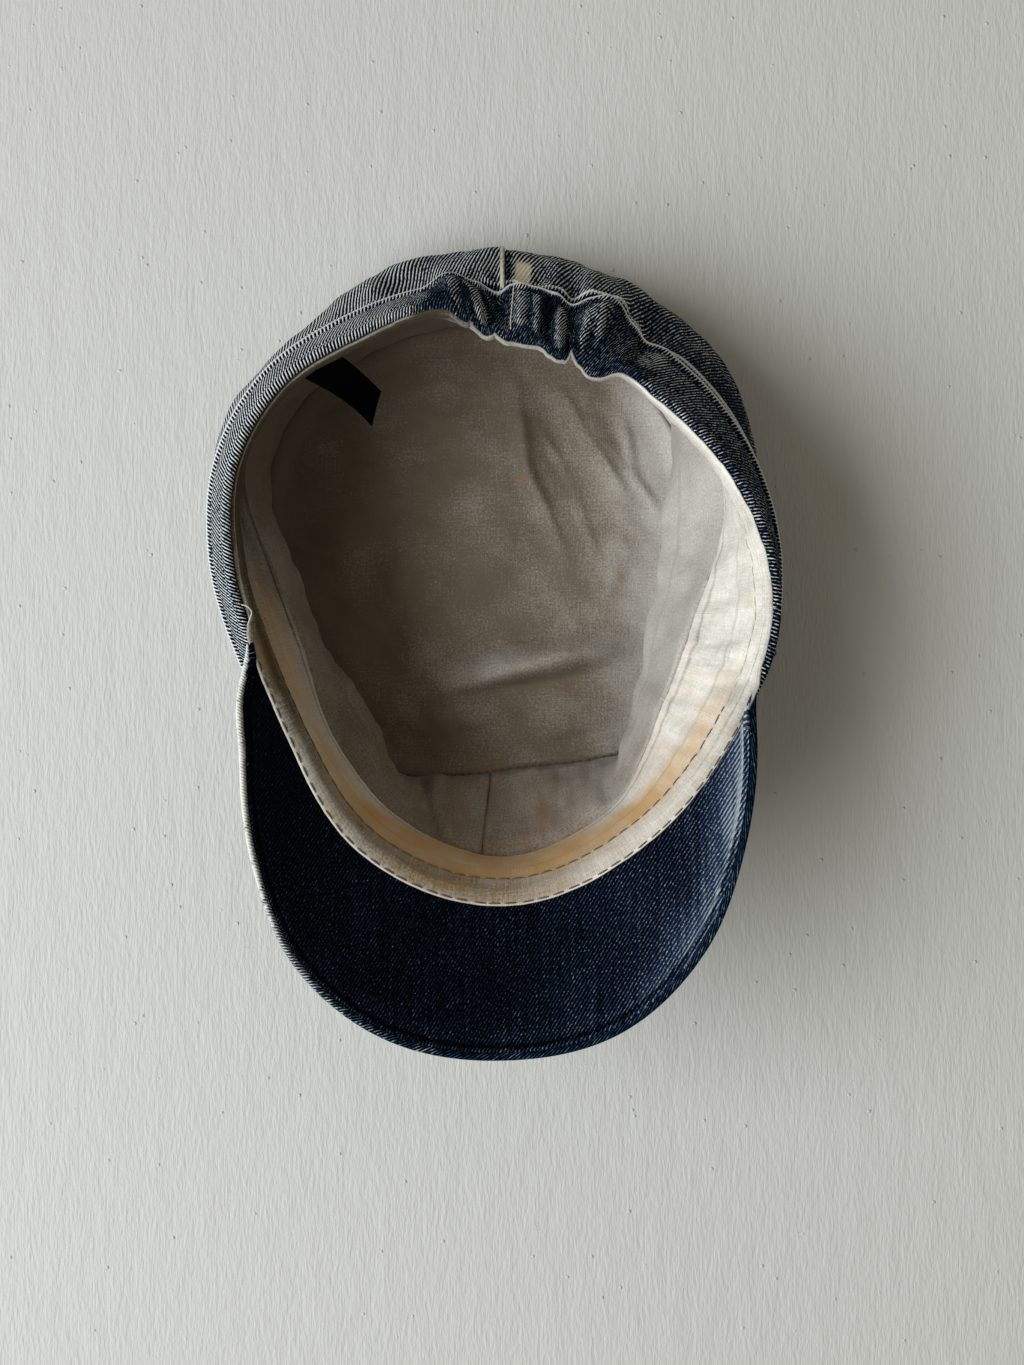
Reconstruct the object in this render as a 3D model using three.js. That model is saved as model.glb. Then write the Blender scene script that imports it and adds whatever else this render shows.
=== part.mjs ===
// A cadet cap in washed denim, lying on its crown with the opening upwards.
// Millimetres, +Z up. +Y is the back with the elastic gathers, -Y the peak.
// The origin lies on the crown's flat top, under the middle of the rim.
// Every section is a vertical cut through the Z axis, at a bearing in degrees:
// 0 is +X, 90 the back, 180 -X and 270 the front.
import * as THREE from "three";

// Thickness of the cloths, and the gap that neighbours keep.
const DENIM = 1.6;
const COTTON = 1.0;
const TAPE = 0.9;
const GAP = 0.3;

// Widths of the strips, measured along the cloth.
const BAND_WIDTH = 27;
const SWEATBAND_WIDTH = 34;
const TAPE_WIDTH = 7;
const HEM_WIDTH = 3.5;

// The denim edge stands a little lower than the cotton at the rim.
const BAND_BELOW_RIM = 1.2;
const SWEATBAND_BELOW_RIM = 0.4;

// The crown: the flat top curls up at its seam, and the sides end beside it.
const CROWN_CURL = 1.3;
const CROWN_CURL_WIDTH = 9;
const SEAM_GAP_DEGREES = 0.15;
const LINING_REST = 2.1;
const LINING_CURL = 1.9;
const LINING_SEAM_HEIGHT = 6.5;
const CENTRE_BACK = 90;
const CENTRE_FRONT = 270;
const LINING_FRONT = 264.5;

// The peak is two denim plates, the upper one rolled round the edge.
const PEAK_FROM = 188;
const PEAK_TO = 341;
const PEAK_BELOW_RIM = 0.7;
const PLATE = 1.7;
const ROLL_WIDTH = 2.7;

// Column spacing in degrees, finer where the elastic gathers the back.
const COARSE = 7.5;
const FINE = 2;
const GATHERS_FROM = 57;
const GATHERS_TO = 107;

// Outer wall. rim: radius of the rim's cotton edge. rimZ: its height. flare: how far the band
// leans out to its seam. bulge: crown radius half way down. top: radius of the crown seam.
const WALL = [
  { at: 0, rim: 87.0, rimZ: 86.0, flare: 2.5, bulge: 87.0, top: 73.0 },
  { at: 30, rim: 85.5, rimZ: 86.0, flare: 9.5, bulge: 102.5, top: 86.0 },
  { at: 45, rim: 84.4, rimZ: 85.6, flare: 13.0, bulge: 115.5, top: 95.0 },
  { at: 60, rim: 84.8, rimZ: 85.0, flare: 15.0, bulge: 122.0, top: 104.0 },
  { at: 78, rim: 85.6, rimZ: 84.2, flare: 18.5, bulge: 126.5, top: 109.5 },
  { at: 92, rim: 88.9, rimZ: 84.0, flare: 17.0, bulge: 129.0, top: 112.0 },
  { at: 103, rim: 99.0, rimZ: 84.6, flare: 9.6, bulge: 129.5, top: 113.0 },
  { at: 120, rim: 100.0, rimZ: 86.0, flare: 9.5, bulge: 127.0, top: 113.0 },
  { at: 135, rim: 102.0, rimZ: 86.6, flare: 9.0, bulge: 123.5, top: 112.5 },
  { at: 152, rim: 98.6, rimZ: 86.6, flare: 8.5, bulge: 116.5, top: 104.0 },
  { at: 170, rim: 90.0, rimZ: 86.0, flare: 8.0, bulge: 99.5, top: 92.0 },
  { at: 190, rim: 82.0, rimZ: 84.6, flare: 6.5, bulge: 89.0, top: 81.0 },
  { at: 212, rim: 81.3, rimZ: 84.2, flare: 3.0, bulge: 83.0, top: 74.0 },
  { at: 240, rim: 91.5, rimZ: 83.0, flare: 1.0, bulge: 87.0, top: 73.0 },
  { at: 270, rim: 96.0, rimZ: 80.0, flare: 0.5, bulge: 82.5, top: 61.0 },
  { at: 300, rim: 88.7, rimZ: 82.1, flare: 0.5, bulge: 80.5, top: 64.0 },
  { at: 330, rim: 83.8, rimZ: 85.5, flare: 1.0, bulge: 80.5, top: 68.0 },
];

// Inside. lean: how far the sweatband's far edge stands out from the rim, inwards if negative.
// fold and foldZ: the edge that the slack lining folds over. seam: radius of its top seam.
const INSIDE = [
  { at: 0, lean: -21.5, fold: 53.0, foldZ: 20, seam: 69.0 },
  { at: 30, lean: 1.0, fold: 66.0, foldZ: 16, seam: 82.0 },
  { at: 48, lean: 5.0, fold: 90.0, foldZ: 18, seam: 92.5 },
  { at: 60, lean: 7.0, fold: 100.0, foldZ: 24, seam: 99.0 },
  { at: 78, lean: 12.0, fold: 106.0, foldZ: 30, seam: 105.0 },
  { at: 92, lean: 10.5, fold: 110.0, foldZ: 30, seam: 107.5 },
  { at: 103, lean: 6.0, fold: 111.0, foldZ: 30, seam: 108.5 },
  { at: 120, lean: 6.0, fold: 111.0, foldZ: 30, seam: 109.0 },
  { at: 135, lean: 5.0, fold: 109.0, foldZ: 28, seam: 108.5 },
  { at: 152, lean: 3.0, fold: 97.0, foldZ: 20, seam: 100.0 },
  { at: 170, lean: -9.0, fold: 76.0, foldZ: 18, seam: 88.0 },
  { at: 190, lean: -11.0, fold: 66.0, foldZ: 20, seam: 77.0 },
  { at: 212, lean: -8.5, fold: 61.5, foldZ: 22, seam: 70.0 },
  { at: 240, lean: -12.0, fold: 70.5, foldZ: 30, seam: 69.0 },
  { at: 270, lean: -11.0, fold: 72.5, foldZ: 26, seam: 57.3 },
  { at: 300, lean: -12.0, fold: 70.0, foldZ: 30, seam: 60.0 },
  { at: 330, lean: -21.0, fold: 54.0, foldZ: 24, seam: 64.0 },
];

// Peak outline. reach: radius of the outer edge. rise: its height over the rim.
const PEAK = [
  { at: 188, reach: 85.2, rise: 2.0 },
  { at: 200, reach: 90.0, rise: 5.5 },
  { at: 210, reach: 97.5, rise: 8.8 },
  { at: 225, reach: 114.4, rise: 13.4 },
  { at: 240, reach: 133.0, rise: 14.4 },
  { at: 255, reach: 144.1, rise: 11.6 },
  { at: 270, reach: 146.0, rise: 10.0 },
  { at: 285, reach: 142.0, rise: 11.3 },
  { at: 300, reach: 127.7, rise: 13.3 },
  { at: 315, reach: 108.8, rise: 10.8 },
  { at: 330, reach: 93.8, rise: 5.3 },
  { at: 341, reach: 87.2, rise: 2.0 },
];

// Gathers of the elastic back. half: half width in degrees. rim, belly and seam: how far the
// fold pushes the rim, the middle of the band and the band seam outwards.
const GATHERS = [
  { at: 62.0, half: 4.0, rim: 0, belly: -2.0, seam: -1.5 },
  { at: 70.5, half: 7.5, rim: -4.5, belly: 3.5, seam: 4.5 },
  { at: 75.2, half: 2.2, rim: 2.6, belly: -1.5, seam: 0 },
  { at: 77.8, half: 3.2, rim: -3.4, belly: 0, seam: -2.5 },
  { at: 81.5, half: 2.2, rim: 0, belly: -2.0, seam: 0 },
  { at: 86.0, half: 5.5, rim: -1.6, belly: 1.5, seam: 0.5 },
  { at: 92.0, half: 3.0, rim: 0.8, belly: -3.0, seam: -1.5 },
  { at: 95.4, half: 3.0, rim: -2.6, belly: 1.0, seam: 0 },
  { at: 99.5, half: 5.5, rim: -1.6, belly: 3.5, seam: 4.0 },
];

// Dents and soft folds of the crown's sides. down: place from the band seam (0) to the crown
// seam (1). half and tall: half sizes in degrees and in the same share. push: outwards.
const DENTS = [
  { at: 106, down: 0.1, half: 7, tall: 0.35, push: -5 },
  { at: 62, down: 0.1, half: 8, tall: 0.35, push: -4 },
  { at: 84, down: 0.15, half: 7, tall: 0.35, push: -3 },
  { at: 128, down: 0.55, half: 14, tall: 0.3, push: -3 },
  { at: 20, down: 0.6, half: 14, tall: 0.35, push: -4 },
  { at: 205, down: 0.5, half: 16, tall: 0.35, push: -3 },
  { at: 318, down: 0.5, half: 16, tall: 0.35, push: -3 },
];

// Creases that stand up in the lining of the top: a centre, a heading, half sizes, a height.
const CREASES = [
  { x: 14, y: -17, heading: 15, long: 44, wide: 13, high: 7.5 },
  { x: -20, y: -34, heading: 24, long: 26, wide: 11, high: 3 },
  { x: 8, y: 58, heading: 107, long: 42, wide: 13, high: 4 },
  { x: 34, y: 62, heading: 117, long: 30, wide: 11, high: 4 },
  { x: -6, y: 38, heading: 76, long: 48, wide: 20, high: 4 },
  { x: -60, y: 30, heading: 100, long: 36, wide: 16, high: 3 },
];

// Woven label, a ribbon that hangs into the cap: the two ends of each of its long edges.
const LABEL = [
  { x: -66.0, y: 75.6, z: 78.0, x2: -44.9, y2: 61.8, z2: 64.0 },
  { x: -52.9, y: 82.2, z: 77.6, x2: -42.2, y2: 74.6, z2: 57.0 },
];
const LABEL_THICK = 0.8;
const LABEL_BOW = 3.5;

const rad = THREE.MathUtils.degToRad;

// A column of a table at a bearing, on a smooth curve that runs round and closes.
function round(table, column, bearing) {
  const n = table.length;
  const turn = THREE.MathUtils.euclideanModulo(bearing, 360);
  let i = n - 1;
  while (i > 0 && table[i].at > turn) i -= 1;
  const row = (k) => table[(k + n) % n];
  const place = (k) => row(k).at + 360 * Math.floor(k / n);
  return hermite(place(i - 1), row(i - 1)[column], place(i), row(i)[column],
    place(i + 1), row(i + 1)[column], place(i + 2), row(i + 2)[column], turn);
}

// The same for a table that has two ends.
function along(table, column, bearing) {
  const last = table.length - 1;
  let i = last - 1;
  while (i > 0 && table[i].at > bearing) i -= 1;
  const row = (k) => table[THREE.MathUtils.clamp(k, 0, last)];
  const before = i === 0 ? 2 * row(0).at - row(1).at : row(i - 1).at;
  const after = i === last - 1 ? 2 * row(last).at - row(last - 1).at : row(i + 2).at;
  return hermite(before, row(i - 1)[column], row(i).at, row(i)[column],
    row(i + 1).at, row(i + 1)[column], after, row(i + 2)[column], bearing);
}

// Cubic through (x1, y1) and (x2, y2), with slopes taken across the neighbours.
function hermite(x0, y0, x1, y1, x2, y2, x3, y3, x) {
  const w = x2 - x1;
  const t = (x - x1) / w;
  const m1 = ((y2 - y0) / (x2 - x0)) * w;
  const m2 = ((y3 - y1) / (x3 - x1)) * w;
  return (2 * t ** 3 - 3 * t ** 2 + 1) * y1 + (t ** 3 - 2 * t ** 2 + t) * m1
    + (3 * t ** 2 - 2 * t ** 3) * y2 + (t ** 3 - t ** 2) * m2;
}

// A smooth hump: 1 in the middle, 0 from half away.
function hump(distance, half) {
  const t = Math.min(Math.abs(distance) / half, 1);
  return 0.5 + 0.5 * Math.cos(Math.PI * t);
}

function turnBetween(a, b) {
  return THREE.MathUtils.euclideanModulo(a - b + 180, 360) - 180;
}

function gather(column, bearing) {
  return GATHERS.reduce((sum, fold) => (
    sum + fold[column] * hump(turnBetween(bearing, fold.at), fold.half)), 0);
}

// Dents fade out at both seams.
function dent(bearing, down) {
  const free = 1 - (2 * down - 1) ** 6;
  return free * DENTS.reduce((sum, d) => (
    sum + d.push * hump(turnBetween(bearing, d.at), d.half) * hump(down - d.down, d.tall)), 0);
}

const rimRadius = (bearing) => round(WALL, "rim", bearing) + gather("rim", bearing);
const rimHeight = (bearing) => round(WALL, "rimZ", bearing);

// Share of the peak's thickness that stands between rim and band, 1 along the peak.
function peakShare(bearing) {
  const inside = Math.min(bearing - PEAK_FROM, PEAK_TO - bearing);
  return THREE.MathUtils.smoothstep(inside, -6, -0.6);
}

// Where the band meets the crown: the band is as wide along the slope as it is cut.
function bandSeam(bearing) {
  const flare = round(WALL, "flare", bearing);
  const z = rimHeight(bearing) - Math.sqrt(BAND_WIDTH ** 2 - flare ** 2);
  const r = round(WALL, "rim", bearing) + 3 * GAP + DENIM + flare + gather("seam", bearing);
  return new THREE.Vector2(r, z);
}

// Section curves hold (radius, height) points, from the rim down.
function bandCurve(bearing) {
  const drop = BAND_BELOW_RIM + peakShare(bearing) * (2 * PLATE + GAP + PEAK_BELOW_RIM);
  const top = new THREE.Vector2(rimRadius(bearing) + 3 * GAP + DENIM, rimHeight(bearing) - drop);
  const seam = bandSeam(bearing);
  const belly = top.clone().lerp(seam, 0.5);
  belly.x += 0.6 + 2 * gather("belly", bearing);
  return new THREE.QuadraticBezierCurve(top, belly, seam);
}

function crownCurve(bearing) {
  const way = bandCurve(bearing).getTangent(1);
  const start = bandSeam(bearing).addScaledVector(way, GAP + 0.2);
  const end = new THREE.Vector2(round(WALL, "top", bearing), CROWN_CURL);
  const height = start.y - end.y;
  const shoulder = start.clone().addScaledVector(way, 0.25 * height);
  const c = (8 * round(WALL, "bulge", bearing) - start.x - 3 * shoulder.x - end.x) / 3;
  return new THREE.CubicBezierCurve(start, shoulder, new THREE.Vector2(c, end.y), end);
}

function sweatbandCurve(bearing, width) {
  const lean = round(INSIDE, "lean", bearing);
  const top = new THREE.Vector2(rimRadius(bearing), rimHeight(bearing) - SWEATBAND_BELOW_RIM);
  const edge = new THREE.Vector2(round(WALL, "rim", bearing) + lean,
    top.y - Math.sqrt(SWEATBAND_WIDTH ** 2 - lean ** 2));
  const share = width / SWEATBAND_WIDTH;
  return new THREE.LineCurve(top, top.clone().lerp(edge, share));
}

function liningCurve(bearing) {
  const start = sweatbandCurve(bearing, SWEATBAND_WIDTH + 2 * GAP).v2;
  const hem = sweatbandCurve(bearing, SWEATBAND_WIDTH + HEM_WIDTH).v2;
  const fold = new THREE.Vector2(round(INSIDE, "fold", bearing), round(INSIDE, "foldZ", bearing));
  const end = new THREE.Vector2(round(INSIDE, "seam", bearing), LINING_SEAM_HEIGHT);
  const tuck = fold.clone().lerp(end, 0.6).add(new THREE.Vector2(0.5, -1.5));
  return new THREE.SplineCurve([start, hem, hem.clone().lerp(fold, 0.5), fold, tuck, end]);
}

// Points of a section, and the same points moved in by a thickness, across the curve.
function wall(curve, shares, thick, bearing, push = () => 0) {
  const faces = { out: [], in: [] };
  for (const t of shares) {
    const p = curve.getPoint(t);
    const d = curve.getTangent(t);
    p.x += push(bearing, t);
    faces.out.push(turned(p.x, p.y, bearing));
    faces.in.push(turned(p.x + d.y * thick, p.y - d.x * thick, bearing));
  }
  return faces;
}

// Equal shares of a section, from 0 to 1.
function steps(count) {
  return Array.from({ length: count + 1 }, (_, i) => i / count);
}

function turned(r, z, bearing) {
  return new THREE.Vector3(r * Math.cos(rad(bearing)), r * Math.sin(rad(bearing)), z);
}

// Bearings of the columns from one bearing to another. A whole turn leaves the last one out.
function columns(from, to, step = COARSE, gathered = true) {
  const list = [];
  for (let b = -360; b <= 720; b += step) {
    const turn = THREE.MathUtils.euclideanModulo(b, 360);
    if (!gathered || turn < GATHERS_FROM || turn > GATHERS_TO) list.push(b);
  }
  for (let turn = -360; gathered && turn <= 360; turn += 360) {
    for (let b = GATHERS_FROM; b <= GATHERS_TO; b += FINE) list.push(turn + b);
  }
  const inside = list.filter((b) => b > from + 0.7 && b < to - 0.7).sort((a, b) => a - b);
  return to - from >= 360 ? [from, ...inside] : [from, ...inside, to];
}

// One closed body from the faces of its sections: an outer and an inner row of points each.
// Both faces are split along the same diagonals, so that neighbours keep their gap.
function sheetBody(sections, closed) {
  const n = sections[0].out.length;
  const ring = sections.map((s) => [...s.out, ...s.in.slice().reverse()]);
  const triangles = [];
  const quad = (a, b, c, d) => triangles.push(a, b, c, a, c, d);
  const last = closed ? ring.length : ring.length - 1;
  for (let i = 0; i < last; i += 1) {
    const here = ring[i];
    const next = ring[(i + 1) % ring.length];
    for (let j = 0; j < 2 * n; j += 1) {
      const k = (j + 1) % (2 * n);
      if (j < n) quad(here[j], here[k], next[k], next[j]);
      else quad(here[k], next[k], next[j], here[j]);
    }
  }
  if (!closed) {
    const first = ring[0];
    const end = ring[ring.length - 1];
    for (let j = 0; j < n - 1; j += 1) {
      const k = 2 * n - 1 - j;
      quad(first[j], first[k], first[k - 1], first[j + 1]);
      quad(end[j], end[j + 1], end[k - 1], end[k]);
    }
  }
  return outward(triangles);
}

// One closed plate from a lower and an upper face, given as point(share, bearing).
function plateBody(shares, bearings, lower, upper) {
  const triangles = [];
  const rim = shares.length - 1;
  bearings.forEach((b, i) => {
    const c = bearings[(i + 1) % bearings.length];
    triangles.push(upper(0, 0), upper(shares[1], b), upper(shares[1], c));
    triangles.push(lower(0, 0), lower(shares[1], c), lower(shares[1], b));
    for (let j = 1; j < rim; j += 1) {
      const [s, t] = [shares[j], shares[j + 1]];
      triangles.push(upper(s, b), upper(t, b), upper(t, c), upper(s, b), upper(t, c), upper(s, c));
      triangles.push(lower(s, b), lower(t, c), lower(t, b), lower(s, b), lower(s, c), lower(t, c));
    }
    triangles.push(upper(1, b), lower(1, b), lower(1, c), upper(1, b), lower(1, c), upper(1, c));
  });
  return outward(triangles);
}

// A geometry whose faces point out, from its list of triangle corners.
function outward(corners) {
  let volume = 0;
  for (let i = 0; i < corners.length; i += 3) {
    volume += corners[i].dot(corners[i + 1].clone().cross(corners[i + 2]));
  }
  if (volume < 0) {
    for (let i = 0; i < corners.length; i += 3) {
      [corners[i + 1], corners[i + 2]] = [corners[i + 2], corners[i + 1]];
    }
  }
  const geometry = new THREE.BufferGeometry().setFromPoints(corners);
  geometry.computeVertexNormals();
  return geometry;
}

function crownTop() {
  const radius = (b) => round(WALL, "top", b) - GAP;
  const curl = (share, b) => {
    const inside = (1 - share) * radius(b);
    return CROWN_CURL * (1 - THREE.MathUtils.smoothstep(inside, 0, CROWN_CURL_WIDTH));
  };
  const face = (lift) => (share, b) => turned(share * radius(b), curl(share, b) + lift, b);
  return plateBody([0, 0.45, 0.85, 0.93, 0.97, 1], columns(0, 360, COARSE, false),
    face(0), face(DENIM));
}

function crownSide(from, to) {
  return sheetBody(columns(from + SEAM_GAP_DEGREES, to - SEAM_GAP_DEGREES)
    .map((b) => wall(crownCurve(b), steps(6), DENIM, b, dent)), false);
}

function band() {
  return sheetBody(columns(0, 360).map((b) => wall(bandCurve(b), steps(3), DENIM, b)), true);
}

function sweatband() {
  const shares = [0, TAPE_WIDTH / SWEATBAND_WIDTH, 0.6, 1];
  return sheetBody(columns(0, 360)
    .map((b) => wall(sweatbandCurve(b, SWEATBAND_WIDTH), shares, COTTON, b)), true);
}

// The tape lies on the inner face of the sweatband, and its edge is the top of the rim.
function seamTape() {
  return sheetBody(columns(0, 360).map((b) => {
    const edge = sweatbandCurve(b, TAPE_WIDTH);
    const down = edge.getTangent(0);
    const across = new THREE.Vector2(down.y, -down.x).multiplyScalar(COTTON + GAP);
    edge.v1.add(across).addScaledVector(down, -SWEATBAND_BELOW_RIM);
    edge.v2.add(across);
    return wall(edge, steps(1), TAPE, b);
  }), true);
}

function liningSide(from, to) {
  return sheetBody(columns(from + SEAM_GAP_DEGREES, to - SEAM_GAP_DEGREES)
    .map((b) => wall(liningCurve(b), steps(8), COTTON, b)), false);
}

// Height of the creases at a point of the lining's top.
function crease(x, y) {
  return CREASES.reduce((sum, c) => {
    const dx = x - c.x;
    const dy = y - c.y;
    const u = dx * Math.cos(rad(c.heading)) + dy * Math.sin(rad(c.heading));
    const v = dy * Math.cos(rad(c.heading)) - dx * Math.sin(rad(c.heading));
    return sum + c.high * hump(u, c.long) * hump(v, c.wide);
  }, 0);
}

function liningTop() {
  const radius = (b) => round(INSIDE, "seam", b) - COTTON - 2 * GAP;
  const face = (lift) => (share, b) => {
    const p = turned(share * radius(b), 0, b);
    const curl = 1 - THREE.MathUtils.smoothstep((1 - share) * radius(b), 0, CROWN_CURL_WIDTH);
    const slack = crease(p.x, p.y) * (1 - curl);
    p.z = LINING_REST + lift + slack + curl * LINING_CURL;
    return p;
  };
  return plateBody([...steps(8).slice(0, -1), 0.94, 1], columns(0, 360, COARSE, false),
    face(0), face(COTTON));
}

// The roll along the peak's edge narrows where the peak runs out at the rim.
function rollWidth(bearing) {
  const width = along(PEAK, "reach", bearing) - rimRadius(bearing) - 2 * GAP;
  return Math.min(ROLL_WIDTH, 0.5 * width);
}

// A point of the peak: out from the rim in share, then a step out and a depth under its face.
function peakPoint(bearing, share, step, depth) {
  const inner = rimRadius(bearing) + 2 * GAP;
  const outer = along(PEAK, "reach", bearing);
  const roll = rollWidth(bearing);
  const r = inner + (outer - roll - inner) * share + step;
  const rise = along(PEAK, "rise", bearing) * ((r - inner) / (outer - inner));
  return turned(r, rimHeight(bearing) - PEAK_BELOW_RIM + rise - depth, bearing);
}

function peakUnder() {
  const shares = [0, 0.25, 0.5, 0.75, 1];
  return sheetBody(columns(PEAK_FROM, PEAK_TO, COARSE / 2).map((b) => ({
    out: shares.map((s) => peakPoint(b, s, s === 1 ? -GAP : 0, s === 1 ? 0.3 : 0)),
    in: shares.map((s) => peakPoint(b, s, s === 1 ? -GAP : 0, PLATE)),
  })), false);
}

// The upper plate, and the roll that stands up along its outer edge.
function peakTop() {
  const shares = [0, 0.25, 0.5, 0.75];
  const under = PLATE + GAP;
  const edge = [[0.1, under], [0.1, 0.5], [0.4, -0.3], [0.8, 0]];
  const back = [[0, under + PLATE], [0.6, under + PLATE - 0.3], [0.9, under], [1, 1.2]];
  return sheetBody(columns(PEAK_FROM, PEAK_TO, COARSE / 2).map((b) => {
    const roll = ([share, depth]) => peakPoint(b, 1, share * rollWidth(b), depth);
    return {
      out: [...shares.map((s) => peakPoint(b, s, 0, under)), ...edge.map(roll)],
      in: [...shares.map((s) => peakPoint(b, s, 0, under + PLATE)), ...back.map(roll)],
    };
  }), false);
}

// A ribbon between two edges, bowed upwards on its way down.
function label() {
  const point = (edge, t, lift) => new THREE.Vector3(
    THREE.MathUtils.lerp(edge.x, edge.x2, t),
    THREE.MathUtils.lerp(edge.y, edge.y2, t),
    THREE.MathUtils.lerp(edge.z, edge.z2, t) + LABEL_BOW * Math.sin(Math.PI * t) + lift);
  const section = (t) => ({
    out: LABEL.map((edge) => point(edge, t, 0)),
    in: LABEL.map((edge) => point(edge, t, -LABEL_THICK)),
  });
  return sheetBody(steps(6).map(section), false);
}

const materials = {
  denim: new THREE.MeshStandardMaterial({ color: 0x47586a, roughness: 0.9, metalness: 0 }),
  darkDenim: new THREE.MeshStandardMaterial({ color: 0x161d2b, roughness: 0.9, metalness: 0 }),
  lining: new THREE.MeshStandardMaterial({ color: 0xa39c93, roughness: 0.95, metalness: 0 }),
  cream: new THREE.MeshStandardMaterial({ color: 0xd8cdb8, roughness: 0.9, metalness: 0 }),
  label: new THREE.MeshStandardMaterial({ color: 0x0c0c0d, roughness: 0.6, metalness: 0 }),
};

const cap = new THREE.Group();

function add(name, geometry, material) {
  const mesh = new THREE.Mesh(geometry, material);
  mesh.name = name;
  cap.add(mesh);
}

add("crown_top", crownTop(), materials.denim);
add("crown_side_left", crownSide(CENTRE_BACK, CENTRE_FRONT), materials.denim);
add("crown_side_right", crownSide(CENTRE_FRONT - 360, CENTRE_BACK), materials.denim);
add("band", band(), materials.denim);
add("peak_top", peakTop(), materials.denim);
add("peak_under", peakUnder(), materials.darkDenim);
add("sweatband", sweatband(), materials.cream);
add("seam_tape", seamTape(), materials.cream);
add("lining_side_left", liningSide(CENTRE_BACK, LINING_FRONT), materials.lining);
add("lining_side_right", liningSide(LINING_FRONT - 360, CENTRE_BACK), materials.lining);
add("lining_top", liningTop(), materials.lining);
add("label", label(), materials.label);

export default cap;
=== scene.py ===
"""A washed denim cadet cap lying on its crown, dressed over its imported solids.

Lengths are in millimetres while a shape is worked out, and turn to metres when it becomes a mesh.
A section is a vertical cut through the Z axis at a bearing in degrees: 0 is +X, 90 the gathered
back, 270 the peak. Tables hold one row per section or fold, in the columns that their titles name.
"""

import functools
import math

import bpy
import numpy as np
from bpy.props import FloatProperty, FloatVectorProperty, PointerProperty
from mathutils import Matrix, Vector


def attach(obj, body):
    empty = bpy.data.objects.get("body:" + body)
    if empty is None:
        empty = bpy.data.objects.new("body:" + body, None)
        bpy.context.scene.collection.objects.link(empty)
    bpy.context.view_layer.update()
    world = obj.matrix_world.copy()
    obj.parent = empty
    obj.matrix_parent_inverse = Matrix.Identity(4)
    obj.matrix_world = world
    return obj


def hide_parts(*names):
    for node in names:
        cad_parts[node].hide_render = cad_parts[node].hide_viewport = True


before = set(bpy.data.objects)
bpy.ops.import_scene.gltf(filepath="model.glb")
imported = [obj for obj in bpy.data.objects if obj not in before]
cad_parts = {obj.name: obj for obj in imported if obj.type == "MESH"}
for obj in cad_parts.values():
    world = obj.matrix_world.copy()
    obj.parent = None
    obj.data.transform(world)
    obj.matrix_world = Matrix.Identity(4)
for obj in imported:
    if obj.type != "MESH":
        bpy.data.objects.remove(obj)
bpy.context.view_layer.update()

bl_info = {
    "name": "Washed Denim Cadet Cap",
    "version": (1, 0, 0),
    "blender": (4, 5, 0),
    "location": "3D View > Sidebar > Cap",
    "description": "Builds a washed denim cadet cap, piece by piece, over its solids",
    "category": "Object",
}

MM = 0.001

# Thickness of each cloth, and the space left between two pieces.
DENIM = 1.6
COTTON = 1.0
TAPE = 0.9
GAP = 0.3

# Widths of the strips along the cloth, and how far their edges and rows of stitches lie below
# the rim. The band's hem stands a rise over the rim, and its fold thickens it.
BAND_WIDTH = 27.0
BAND_BELOW_RIM = 1.2
SWEATBAND_WIDTH = 34.0
SWEATBAND_TOP = 1.8
SWEATBAND_BELOW_RIM = 0.4
TAPE_WIDTH = 6.4
TAPE_TOP = -1.2
TAPE_ROW = 5.8
TAPE_EDGE_ROW = -0.4
HEM_WIDTH = 3.5
HEM_RISE = 1.3
HEM_FOLD = 1.3

# Mean radius of the band and of the sweatband, for slack and blotches that run round them.
BAND_MEAN = 95
SWEATBAND_MEAN = 90

# Depth at which the scallops of the gathered rim have died away.
SCALLOP_END = 14

CROWN_CURL = 1.3
CROWN_CURL_WIDTH = 9.0
LINING_REST = 2.1
LINING_CURL = 2.3
LINING_SEAM_HEIGHT = 6.5
SEAM_GAP_DEGREES = 0.15
CENTRE_BACK = 90.0
CENTRE_FRONT = 270.0
LINING_FRONT = 264.5
LINING_FLAP = (258.5, 242.0)

PEAK_FROM = 188.0
PEAK_TO = 341.0
PEAK_BELOW_RIM = 0.7
PLATE = 1.7
ROLL_WIDTH = 2.7


def table(titles, rows):
    """Columns of a table by name, as arrays."""
    return dict(zip(titles.split(), np.array(rows, float).T))


# rim, rim_z: radius and height of the rim. flare: how far the band leans out to its seam.
# bulge: crown radius half way down. top: radius of the crown's top seam.
WALL = table("at rim rim_z flare bulge top", [
    (0, 87.0, 86.0, 2.5, 87.0, 73.0),
    (30, 85.5, 86.0, 9.5, 102.5, 86.0),
    (45, 84.4, 85.6, 13.0, 115.5, 95.0),
    (60, 84.8, 85.0, 15.0, 122.0, 104.0),
    (78, 85.6, 84.2, 18.5, 126.5, 109.5),
    (92, 88.9, 84.0, 17.0, 129.0, 112.0),
    (103, 99.0, 84.6, 9.6, 129.5, 113.0),
    (120, 100.0, 86.0, 9.5, 127.0, 113.0),
    (135, 102.0, 86.6, 9.0, 123.5, 112.5),
    (152, 98.6, 86.6, 8.5, 116.5, 104.0),
    (170, 90.0, 86.0, 8.0, 99.5, 92.0),
    (190, 82.0, 84.6, 6.5, 89.0, 81.0),
    (212, 81.3, 84.2, 3.0, 83.0, 74.0),
    (240, 91.5, 83.0, 1.0, 87.0, 73.0),
    (270, 96.0, 80.0, 0.5, 82.5, 61.0),
    (300, 88.7, 82.1, 0.5, 80.5, 64.0),
    (330, 83.8, 85.5, 1.0, 80.5, 68.0),
])

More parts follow.
